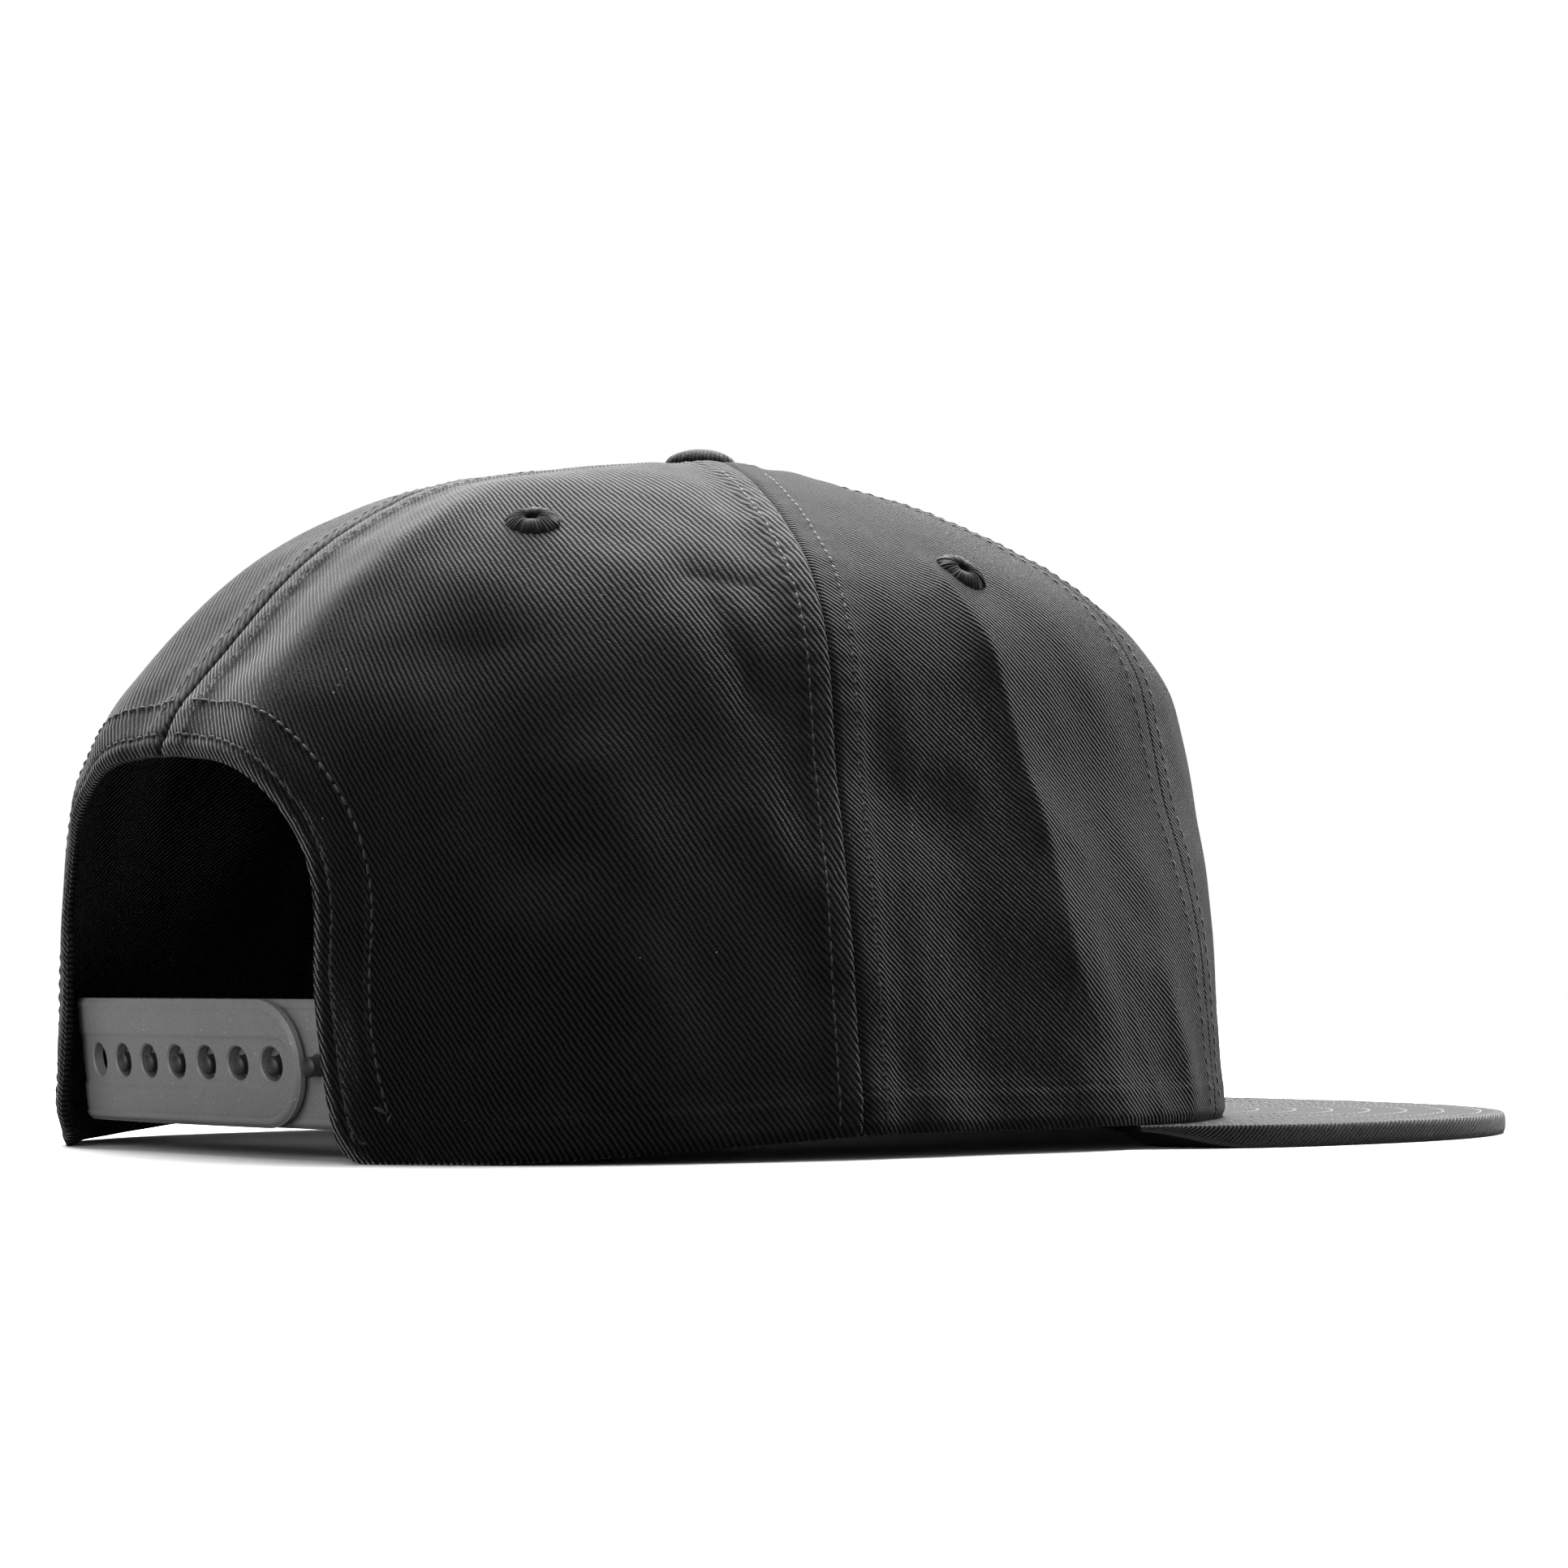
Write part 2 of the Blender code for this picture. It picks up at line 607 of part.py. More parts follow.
def make_closure(material):
    """The two straps: one with the holes, and one with the posts that snap into them."""
    middle = STRAP_FOOT + STRAP_HEIGHT / 2
    hem_x = OPENING_HALF_WIDTH + OPENING_FOOT_FLARE + STRAP_TUCK
    holed = make_strap("strap_holes", hem_x, STRAP_END_X, no_inset, material)
    for index, x in enumerate(SNAP_XS):
        point, normal = strap_frame(x, middle, no_inset)
        name = f"hole_cutter_{index}"
        start = point - 2 * STRAP_THICKNESS * normal
        mesh = round_bar(name, start, normal, 4 * STRAP_THICKNESS, HOLE_RADIUS, HOLE_SIDES)
        cut(holed, add_cutter(name, mesh))
    posted = make_strap("strap_posts", -hem_x, POST_STRAP_END_X, post_strap_inset, material)
    for index, x in enumerate(POST_XS):
        point, normal = strap_frame(x, middle, post_strap_inset)
        name = f"post_core_{index}"
        length = 1.5 * STRAP_THICKNESS + FIT_GAP + POST_PROUD
        mesh = round_bar(name, point, normal, length, POST_RADIUS, POST_SIDES)
        core = add_cutter(name, mesh)
        union = posted.modifiers.new("join_" + name, "BOOLEAN")
        union.operation = "UNION"
        union.solver = "EXACT"
        union.object = core


def main():
    """Model the cap."""
    clear_scene()
    materials = {name: make_material(name) for name in MATERIALS}
    twill = materials["black_twill"]
    thread = materials["black_thread"]
    opening = make_opening_cutter()
    make_panel("front_panel", -FRONT_SEAM_AZIMUTH, FRONT_SEAM_AZIMUTH, twill)
    for hand, sign in (("right", 1), ("left", -1)):
        front, middle, rear = (sign * seam for seam in
                               (FRONT_SEAM_AZIMUTH, SIDE_SEAM_AZIMUTH, BACK_SEAM_AZIMUTH))
        side = make_panel("side_panel_" + hand, min(front, middle), max(front, middle), twill)
        back = make_panel("back_panel_" + hand, min(middle, rear), max(middle, rear), twill)
        cut(back, opening)
        make_eyelet("eyelet_side_" + hand, sign * SIDE_EYELET_AZIMUTH, SIDE_EYELET_HEIGHT, side, thread)
        make_eyelet("eyelet_back_" + hand, sign * BACK_EYELET_AZIMUTH, BACK_EYELET_HEIGHT, back, thread)
    make_bill(twill)
    make_button(twill)
    make_closure(materials["strap_plastic"])


main()
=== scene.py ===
import math

import bpy
import numpy as np
from mathutils import Matrix, Vector


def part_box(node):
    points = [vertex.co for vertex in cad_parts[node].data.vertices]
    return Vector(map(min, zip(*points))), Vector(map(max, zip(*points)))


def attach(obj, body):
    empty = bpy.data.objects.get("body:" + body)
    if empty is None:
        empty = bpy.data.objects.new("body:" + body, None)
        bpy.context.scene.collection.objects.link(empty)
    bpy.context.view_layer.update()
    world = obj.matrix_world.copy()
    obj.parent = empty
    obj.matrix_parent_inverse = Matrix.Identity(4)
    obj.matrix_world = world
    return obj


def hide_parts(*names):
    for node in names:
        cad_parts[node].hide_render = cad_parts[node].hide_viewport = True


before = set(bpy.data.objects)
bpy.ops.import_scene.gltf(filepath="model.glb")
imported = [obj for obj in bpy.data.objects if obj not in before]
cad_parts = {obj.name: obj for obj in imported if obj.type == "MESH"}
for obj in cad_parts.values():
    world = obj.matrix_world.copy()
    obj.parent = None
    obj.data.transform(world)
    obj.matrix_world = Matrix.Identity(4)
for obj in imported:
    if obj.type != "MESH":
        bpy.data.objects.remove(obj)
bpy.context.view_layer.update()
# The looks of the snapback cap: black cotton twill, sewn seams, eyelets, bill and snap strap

MM = 0.001

# The crown's surface, as the frame's solids have it
BUTTON_LOW, BUTTON_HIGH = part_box("top_button")
AXIS_Y = (BUTTON_LOW[1] + BUTTON_HIGH[1]) / 2
BILL_LOW, BILL_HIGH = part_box("bill")
BILL_THICKNESS = BILL_HIGH[2]
BILL_HALF_WIDTH = BILL_HIGH[0]
BILL_REACH = AXIS_Y - BILL_LOW[1]
CROWN_HEIGHT = 111.6 * MM
FRONT_REACH = AXIS_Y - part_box("front_panel")[0][1]
SIDE_REACH = 78.5 * MM
BACK_REACH = 106.0 * MM
FRONT_SQUARENESS = 2.3
BACK_SQUARENESS = 2.6
FRONT_SEAM = math.radians(50.0)
SIDE_SEAM = math.radians(112.5)
BACK_SEAM = math.radians(180.0)
DROP_START = math.radians(105.0)
DROP_END = math.radians(152.0)
TIP_RADIUS = 4.0 * MM

# The opening over the strap
OPENING_HEIGHT = 60.0 * MM
OPENING_SPRING_HEIGHT = 30.0 * MM
OPENING_HALF_WIDTH = 34.9 * MM
OPENING_FOOT_FLARE = 5.2 * MM
OPENING_FOOT_CORNER = 3.2 * MM
OPENING_SQUARENESS = 2.6

# The bill: its outline, its section and its rows of stitches
BILL_WIDEST_REACH = 60.0 * MM
BILL_TAIL_LENGTH = 64.0 * MM
BILL_SQUARENESS = 2.3
BILL_TUCK = 3.0 * MM
BILL_TAIL = math.radians(72.0)
BILL_THINNING = math.radians(64.0)
BILL_TAIL_LIFT = 2.7 * MM
BILL_ROUNDING = 1.4 * MM
BILL_EDGE_FLATNESS = 0.55
BILL_COLUMNS = 380
BILL_ACROSS = 72
BILL_BENDS = 15
BILL_ROW_COUNT = 7
BILL_FIRST_ROW = 4.2 * MM
BILL_ROW_PITCH = 6.4 * MM
BILL_ROWS = [BILL_FIRST_ROW + row * BILL_ROW_PITCH for row in range(BILL_ROW_COUNT)]
BILL_QUILTING = 0.10 * MM
BILL_STITCH_PITCH = 2.5 * MM
BILL_STITCH_SINK = 0.20 * MM

PANELS = {
    # node: the azimuths of its two seams
    "front_panel": (-FRONT_SEAM, FRONT_SEAM),
    "side_panel_right": (FRONT_SEAM, SIDE_SEAM),
    "side_panel_left": (-SIDE_SEAM, -FRONT_SEAM),
    "back_panel_right": (SIDE_SEAM, BACK_SEAM),
    "back_panel_left": (-BACK_SEAM, -SIDE_SEAM),
}

# Rings of the crown from its top to its rim, as shares of its height and of its three reaches
RINGS = [
    # height, front, side, back
    (1.000, 0.000, 0.000, 0.000),
    (0.991, 0.136, 0.153, 0.151),
    (0.967, 0.270, 0.286, 0.335),
    (0.934, 0.432, 0.415, 0.509),
    (0.892, 0.551, 0.525, 0.608),
    (0.841, 0.680, 0.626, 0.701),
    (0.790, 0.795, 0.712, 0.769),
    (0.734, 0.886, 0.772, 0.830),
    (0.669, 0.959, 0.812, 0.892),
    (0.595, 0.986, 0.838, 0.954),
    (0.493, 1.000, 0.868, 0.997),
    (0.335, 0.995, 0.933, 1.000),
    (0.167, 0.988, 0.972, 1.000),
    (0.000, 1.000, 1.000, 1.000),
]

# Soft folds and dents: places as azimuth in degrees and height share, the rest in millimetres
FOLDS = [
    # from_azimuth, from_height, to_azimuth, to_height, width, rise
    (84, 0.72, 77, 0.00, 8.0, 0.6),
    (97, 0.42, 96, 0.12, 12.3, -1.3),
    (101, 0.52, 92, 0.50, 6.7, 0.7),
    (123, 0.76, 131, 0.77, 5.5, -0.8),
    (127, 0.72, 122, 0.58, 4.5, -0.7),
    (122, 0.44, 118, 0.36, 5.6, 0.9),
    (170, 0.60, 163, 0.86, 5.6, 0.8),
    (150, 0.66, 143, 0.40, 6.7, -1.9),
    (138, 0.50, 133, 0.10, 7.8, 1.3),
    (76, 0.28, 73, 0.02, 4.5, 0.5),
    (61, 0.22, 59, 0.06, 4.5, 0.5),
    (69, 0.60, 68, 0.40, 7.0, -0.5),
    (161, 0.00, 150, 0.00, 5.0, -1.6),
    (-161, 0.00, -150, 0.00, 5.0, -1.6),
    (-82, 0.66, -79, 0.00, 6.7, 1.0),
    (-99, 0.36, -95, 0.10, 12.3, -1.2),
    (-124, 0.50, -130, 0.15, 10.0, 0.9),
    (-148, 0.60, -146, 0.36, 6.7, -1.1),
    (-169, 0.60, -164, 0.86, 5.6, 0.8),
    (-70, 0.40, -68, 0.10, 8.0, 0.5),
]

# Creases with a crisp crest
CREST_SOFTNESS = 0.35 * MM
CREASES = [
    # from_azimuth, from_height, to_azimuth, to_height, width, rise
    (88, 0.80, 85, 0.68, 4.0, 0.40),
    (85, 0.68, 81.5, 0.42, 5.5, 0.80),
    (81.5, 0.42, 80, 0.24, 6.0, 0.70),
    (80, 0.24, 75, 0.02, 7.0, 0.45),
    (82, 0.47, 74, 0.39, 3.5, 0.40),
    (72, 0.37, 66, 0.31, 4.0, -0.30),
    (70, 0.16, 67, 0.02, 3.0, 0.35),
    (62, 0.20, 60, 0.03, 3.0, 0.40),
    (93, 0.755, 85, 0.79, 2.4, 0.35),
    (122, 0.772, 130, 0.784, 2.2, -0.65),
    (127, 0.74, 123, 0.62, 3.0, -0.30),
    (121, 0.70, 124, 0.60, 3.0, -0.25),
    (146, 0.68, 155, 0.68, 4.0, -0.35),
    (130, 0.30, 127, 0.08, 6.0, -0.25),
    (104, 0.46, 95, 0.38, 5.0, -0.30),
    (-86, 0.74, -80, 0.05, 5.0, 0.50),
    (-104, 0.60, -98, 0.48, 5.0, 0.35),
    (-120, 0.74, -129, 0.71, 3.0, -0.35),
    (-140, 0.52, -137, 0.22, 6.0, 0.35),
]

# Unevenness of the cloth: rise, wave length, seed
UNEVENNESS = ((0.42 * MM, 46 * MM, 3), (0.10 * MM, 16 * MM, 8))

# Hems: their rise and where it ends, then their waves: rise, length, seed, place and width
RIM_HEM = (0.35 * MM, 5.5 * MM, 8.5 * MM, 0.16 * MM, 12 * MM, 31, 5 * MM, 7 * MM)
OPENING_HEM = (0.28 * MM, 8.0 * MM, 11.5 * MM, 0.36 * MM, 10 * MM, 44, 5 * MM, 5 * MM)

# Sewing
SEAM_SINK = 0.42 * MM
SEAM_GROOVE_WIDTH = 0.5 * MM
FRONT_SEAM_FIRMNESS = 0.2
ALLOWANCE_RISE = 0.36 * MM
ALLOWANCE_END = (4.2 * MM, 6.0 * MM)
VALLEY_SINK = 0.30 * MM
VALLEY_OFFSET = 8.5 * MM
VALLEY_WIDTH = 3.0 * MM
PUCKER_RISE = 0.06 * MM
PUCKER_LENGTH = 7.0 * MM
PUCKER_DRIFT = 2.2
PUCKER_DRIFT_LENGTH = 24.0 * MM
PUCKER_WIDTH = 3.0 * MM
PANEL_LENGTH = 150.0 * MM
TOPSTITCH_OFFSET = 4.0 * MM
RIM_STITCH_HEIGHT = 6.3 * MM
RIM_STITCH_SINK = 0.2 * MM
RIM_STITCH_END = math.radians(157.2)
SEAM_STITCH_SHARES = (0.16, 0.995)
SEAM_STITCH_END_GAP = 0.035
OPENING_STITCH_OFFSETS = (2.9 * MM, 8.2 * MM)
STITCH_GROOVE_DEPTH = 0.15 * MM
OPENING_GROOVE_DEPTH = 1.3 * STITCH_GROOVE_DEPTH
STITCH_GROOVE_WIDTH = 0.55 * MM
STITCH_PITCH = 2.15 * MM
STITCH_LENGTH = 1.75 * MM
STITCH_RADIUS = 0.19 * MM
STITCH_SIDES = 5
# Rings along a stitch: place as a share of its length, thickness as a share of its radius
STITCH_RINGS = ((-0.5, 0.5), (-0.36, 0.95), (0.0, 1.05), (0.36, 0.95), (0.5, 0.5))
STITCH_SHIFT = 0.04 * MM
STITCH_TURN = 0.05
CLOTH = 1.5 * MM
PANEL_PUFF = 0.35 * MM
PANEL_MARGIN = 0.04 * MM
EDGE_ROUND_WIDTH = 0.9 * MM
EDGE_ROUND_DEPTH = 0.75 * MM
PANEL_ROWS = 174
EDGE_ROWS = 16
EDGE_ROWS_SHARE = 0.965

# Eyelets: azimuth and height share, then the satin
SIDE_EYELET = (math.radians(81.0), 0.80)
BACK_EYELET = (math.radians(151.5), 0.862)
EYELET_RADIUS = 4.4 * MM
EYELET_HOLE_RADIUS = 1.0 * MM
EYELET_RISE = 1.25 * MM
EYELET_THREADS = 34
EYELET_THREAD_SIDES = 6
EYELET_RINGS = 15
EYELET_SET_IN = 0.1 * MM
# Dents of the cloth round an eyelet: depth and width
EYELET_DENTS = ((0.35 * MM, 7.5 * MM), (1.3 * MM, 1.5 * MM))

# The button
BUTTON_RADIUS = 6.0 * MM
BUTTON_FOOT = CROWN_HEIGHT - 0.3 * MM
BUTTON_SIDES = 72

# Snap closure
STRAP_HEIGHT = 19.0 * MM
STRAP_THICKNESS = 1.9 * MM
STRAP_FOOT = 4.5 * MM
STRAP_INSET = 7.6 * MM
LAP_INSET = STRAP_THICKNESS + 0.3 * MM
STRAP_BOW_RADIUS = 290.0 * MM
STRAP_CORNER = 8.8 * MM
STRAP_LEAN = 0.14
STRAP_BLEND = 0.8 * MM
STRAP_COLUMNS = 132
STRAP_CORNER_COLUMNS = 45
STRAP_LEVELS = 71
STRAP_ROUNDING = 0.55 * MM
HEM_GAP = 0.6 * MM
SNAP_PITCH = 8.4 * MM
SNAP_COUNT = 7
HOLE_RADIUS = 2.55 * MM
POST_RADIUS = 1.55 * MM
POST_PROUD = 0.3 * MM
POST_END_GAP = 0.4 * MM
POST_DOME = 0.7 * MM
CHANNEL_HALF_HEIGHT = 3.85 * MM
CHANNEL_DEPTH = 0.22 * MM
CHANNEL_CORNER = 2.6 * MM
CHANNEL_END = 4.4 * MM
BORDER_INSET = 1.5 * MM
HOLE_CHAMFER = 0.25 * MM
SLOPE_STEP = 0.5 * MM

FIRST_HOLE_X = 30.5 * MM
STRAP_TUCKED_X = 47.0 * MM
SNAP_XS = [FIRST_HOLE_X - index * SNAP_PITCH for index in range(SNAP_COUNT)]
POST_XS = SNAP_XS[1:] + [SNAP_XS[-1] - SNAP_PITCH]
STRAP_END_X = POST_XS[-1] + POST_RADIUS + POST_END_GAP
POST_STRAP_END_X = POST_XS[0] + SNAP_PITCH - POST_RADIUS

# The camera, by the photograph: its place round the button's axis and its lens
CAMERA_AZIMUTH = math.radians(129.0)
CAMERA_DISTANCE = 665.0 * MM
CAMERA_HEIGHT = 26.0 * MM
CAMERA_TURN = math.radians(1.213)
CAMERA_LIFT = math.radians(2.843)
SENSOR_MM = 36.0
FOCAL_SHARE = 4913.0 / 1932.0

# The studio's soft lights: direction, where each starts and is full as a cosine, and strength
LAMPS = [
    ((0.38, -0.40, 0.83), 0.72, 0.97, 15.0),
    ((0.70, -0.71, 0.12), 0.35, 0.90, 0.8),
    ((-0.40, 0.88, 0.25), 0.74, 0.98, 2.0),
    ((0.06, -0.99, 0.10), 0.76, 0.98, 2.0),
]
FILL = 0.015

# Twill: the weave's size, the wales' angle in degrees and the sheen of each panel
WALE_PITCH = 0.74 * MM
WALE_DRIFT = 0.45 * MM
PANEL_TWILLS = {
    "front_panel": (-48, 0.48),
    "side_panel_right": (-43, 0.48),
    "side_panel_left": (-50, 0.48),
    "back_panel_right": (-57, 0.48),
    "back_panel_left": (-40, 0.34),
}
# Twill's dark and light ends; the ramp between them follows the weave's height, so the dark end is
# partly painted shade in the wale gaps
TWILL_TONES = ((0.0008, 0.0008, 0.0009), (0.021, 0.021, 0.022))
# Lighter tones for the bill's rolled edge: painted light, standing in for the light from the front and
# right that the edge catches
BILL_EDGE_PAINTED_LIGHT_TONES = ((0.004, 0.004, 0.004), (0.085, 0.085, 0.086))
LINT_COLOUR = (0.24, 0.24, 0.25, 1.0)
DUST_COLOUR = (0.60, 0.60, 0.61, 1.0)
WHITE = (1.0, 1.0, 1.0, 1.0)


def smoothstep(low, high, value):
    """0 below low, 1 above high, with soft ends."""
    share = np.clip((value - low) / (high - low), 0.0, 1.0)
    return share * share * (3 - 2 * share)


def bump(distance, width):
    """A rounded hump that is 1 at no distance."""
    return np.exp(-(distance / width) ** 2)


def crest(distance, width):
    """A hump with a crisp crest, which is 1 at no distance."""
    return np.exp((CREST_SOFTNESS - np.hypot(distance, CREST_SOFTNESS)) / width)


def ripple(points, length, seed, waves=9):
    """Soft seeded unevenness between about -1 and 1, with the given wave length."""
    source = np.random.RandomState(seed)
    total = np.zeros(points.shape[:-1])
    for _ in range(waves):
        direction = source.normal(size=3)
        direction *= 2 * math.pi / (np.linalg.norm(direction) * length * source.uniform(0.7, 1.7))
        total += np.sin(points @ direction + source.uniform(0, 2 * math.pi))
    return total / math.sqrt(waves)


def unit(vectors):
    """Vectors made one long."""
    return vectors / np.maximum(np.linalg.norm(vectors, axis=-1, keepdims=True), 1e-12)


def ring_value(column, share):
    """One column of the rings as a smooth curve; share runs from 0 at the top to 1 at the rim."""
    values = np.array([ring[column] for ring in RINGS])
    slopes = np.gradient(values)
    last = len(values) - 1
    place = np.clip(share, 0.0, 1.0) * last
    index = np.minimum(place.astype(int), last - 1)
    t = place - index
    start = values[index] * (1 + 2 * t) * (1 - t) ** 2 + slopes[index] * t * (1 - t) ** 2
    end = values[index + 1] * t * t * (3 - 2 * t) + slopes[index + 1] * t * t * (t - 1)
    return start + end


def share_at_height(height):
    """Where on the way from the top to the rim height shares are reached."""
    shares = np.linspace(0.0, 1.0, 1500)
    return np.interp(-np.asarray(height), -ring_value(0, shares), shares)


def rim_height(azimuth):
    """Height of the rim: on the bill in front, down on the rest surface behind."""
    return BILL_THICKNESS * (1 - smoothstep(DROP_START, DROP_END, np.abs(azimuth)))


def plan_radius(azimuth, share):
    """Distance from the button's axis to the crown, without folds."""
    sine, cosine = np.abs(np.sin(azimuth)), np.cos(azimuth)
    squareness = np.where(cosine > 0, FRONT_SQUARENESS, BACK_SQUARENESS)
    front = FRONT_REACH * ring_value(1, share)
    back = BACK_REACH * ring_value(3, share)
    reach = np.where(cosine > 0, front, back)
    side = SIDE_REACH * ring_value(2, share)
    return ((sine / side) ** squareness + (np.abs(cosine) / reach) ** squareness) ** (-1 / squareness)


def around(azimuth, radius, height):
    """Points at azimuths and distances round the button's axis."""
    return np.stack([-radius * np.sin(azimuth), AXIS_Y - radius * np.cos(azimuth), height], axis=-1)


def bare_crown(azimuth, share):
    """Points of the crown without its folds."""
    rim = rim_height(azimuth)
    height = rim + ring_value(0, share) * (CROWN_HEIGHT - rim)
    return around(azimuth, plan_radius(azimuth, share), height)


def crown_normals(azimuth, share):
    """Outward unit normals of the bare crown."""
    step = 0.002
    across = bare_crown(azimuth + step, share) - bare_crown(azimuth - step, share)
    low, high = np.clip(share - step, step, 1.0), np.clip(share + step, 0.0, 1.0)
    return unit(np.cross(across, bare_crown(azimuth, high) - bare_crown(azimuth, low)))


def line_folds(rows, azimuth, height, profile):
    """How far folds along lines lift the cloth; height is a share of the crown's height."""
    mean_radius = (FRONT_REACH + SIDE_REACH + BACK_REACH) / 3
    rise = np.zeros(azimuth.shape)
    for from_azimuth, from_height, to_azimuth, to_height, width, lift in rows:
        start = np.array([math.radians(from_azimuth) * mean_radius, from_height * CROWN_HEIGHT])
        end = np.array([math.radians(to_azimuth) * mean_radius, to_height * CROWN_HEIGHT])
        along = end - start
        x = azimuth * mean_radius - start[0]
        z = height * CROWN_HEIGHT - start[1]
        share = np.clip((x * along[0] + z * along[1]) / (along @ along), 0.0, 1.0)
        rise += lift * MM * profile(np.hypot(x - share * along[0], z - share * along[1]), width * MM)
    return rise


def opening_half_width(height):
    """Half the width of the back opening at heights."""
    flare = 1 - np.clip(height, 0.0, OPENING_SPRING_HEIGHT) / OPENING_SPRING_HEIGHT
    rise = np.clip((height - OPENING_SPRING_HEIGHT) / (OPENING_HEIGHT - OPENING_SPRING_HEIGHT), 0.0, 1.0)
    arch = OPENING_HALF_WIDTH * (1 - rise ** OPENING_SQUARENESS) ** (1 / OPENING_SQUARENESS)
    below = 1 - np.clip(height / OPENING_FOOT_CORNER, 0.0, 1.0)
    corner = OPENING_FOOT_CORNER * (1 - np.sqrt(1 - below ** 2))
    return np.where(rise > 0, arch, OPENING_HALF_WIDTH + OPENING_FOOT_FLARE * flare ** 2 + corner)


def outside_opening(points):
    """Above 0 outside the opening's outline and below 0 inside it."""
    x, height = np.abs(points[..., 0]), points[..., 2]
    rise = (height - OPENING_SPRING_HEIGHT) / (OPENING_HEIGHT - OPENING_SPRING_HEIGHT)
    arch = ((x / OPENING_HALF_WIDTH) ** OPENING_SQUARENESS
            + np.clip(rise, 0.0, None) ** OPENING_SQUARENESS - 1)
    return np.where(rise > 0, arch, (x - opening_half_width(height)) / OPENING_HALF_WIDTH)


def end_shares(azimuth):
    """Where columns of cloth end: at the rim, or at the opening's edge."""
    shares = np.linspace(0.3, 1.0, 900)
    level = outside_opening(bare_crown(azimuth[:, None], shares[None, :]))
    level = np.where(np.abs(azimuth[:, None]) > math.radians(140), level, 1.0)
    ends = np.ones(len(azimuth))
    for index, row in enumerate(level):
        inside = np.nonzero(row < 0)[0]
        if len(inside):
            second = inside[0]
            part = row[second - 1] / (row[second - 1] - row[second])
            ends[index] = shares[second - 1] + part * (shares[second] - shares[second - 1])
    return ends


def back_wall(x, height):
    """Distance behind the button's axis of the crown at a place across and a height."""
    share = share_at_height(height / CROWN_HEIGHT)
    side, back = SIDE_REACH * ring_value(2, share), BACK_REACH * ring_value(3, share)
    across = np.minimum(np.abs(x) / side, 0.999)
    return back * (1 - across ** BACK_SQUARENESS) ** (1 / BACK_SQUARENESS)


def back_surface(x, height):
    """Azimuth and share of the back's places across at heights."""
    return np.arctan2(-x, -back_wall(x, height)), share_at_height(height / CROWN_HEIGHT)


def opening_path(offset, count=220):
    """Azimuth and share along the opening's edge, from its right foot over its top, moved out."""
    turns = np.linspace(0.0, math.pi / 2, count // 2 + 1)
    heights = OPENING_HEIGHT * np.sin(turns)
    right = np.stack([-opening_half_width(heights), heights], axis=-1)
    right[-1, 0] = 0.0
    outline = np.concatenate([right, (right * (-1, 1))[-2::-1]])
    tangent = unit(np.gradient(outline, axis=0))
    outline = outline + offset * np.stack([-tangent[:, 1], tangent[:, 0]], axis=-1)
    return back_surface(outline[:, 0], np.maximum(outline[:, 1], 0.0))


def distances(points, path):
    """Shortest distance of each point from a line of points."""
    flat = points.reshape(-1, 3)
    nearest = np.full(len(flat), 1.0)
    for start in range(0, len(flat), 4000):
        part = flat[start:start + 4000]
        gap = ((part[:, None, :] - path[None, :, :]) ** 2).sum(axis=-1)
        nearest[start:start + 4000] = np.sqrt(gap.min(axis=1))
    return nearest.reshape(points.shape[:-1])


EDGE_PATH = bare_crown(*opening_path(0.0, 300))
EYELETS = [
    (f"eyelet_{place}_{hand}", sign * spot[0], float(share_at_height(spot[1])))
    for hand, sign in (("right", 1), ("left", -1))
    for place, spot in (("side", SIDE_EYELET), ("back", BACK_EYELET))
]


def is_back(seams):
    """Whether the panel between two seams is one of the back panels."""
    return BACK_SEAM in (abs(seams[0]), abs(seams[1]))


def edge_distances(points, azimuth, seams):
    """How far points lie above the rim, and from the opening if the panel has its edge."""
    above_rim = points[..., 2] - rim_height(azimuth)
    far = np.ones(above_rim.shape)
    return above_rim, distances(points, EDGE_PATH) if is_back(seams) else far


def seam_relief(distance):
    """The relief beside a seam: its groove, the doubled cloth, the stitches' groove and a valley."""
    relief = ALLOWANCE_RISE * (1 - smoothstep(*ALLOWANCE_END, distance))
    relief -= VALLEY_SINK * bump(distance - VALLEY_OFFSET, VALLEY_WIDTH)
    relief -= SEAM_SINK * bump(distance, SEAM_GROOVE_WIDTH)
    return relief - STITCH_GROOVE_DEPTH * bump(distance - TOPSTITCH_OFFSET, STITCH_GROOVE_WIDTH)


def hem_relief(points, distance, hem):
    """The relief of a hem's doubled cloth and of its waves, by the distance from the edge."""
    rise, near, far, wave_rise, length, seed, middle, width = hem
    waves = wave_rise * ripple(points, length, seed) * bump(distance - middle, width)
    return rise * (1 - smoothstep(near, far, distance)) + waves


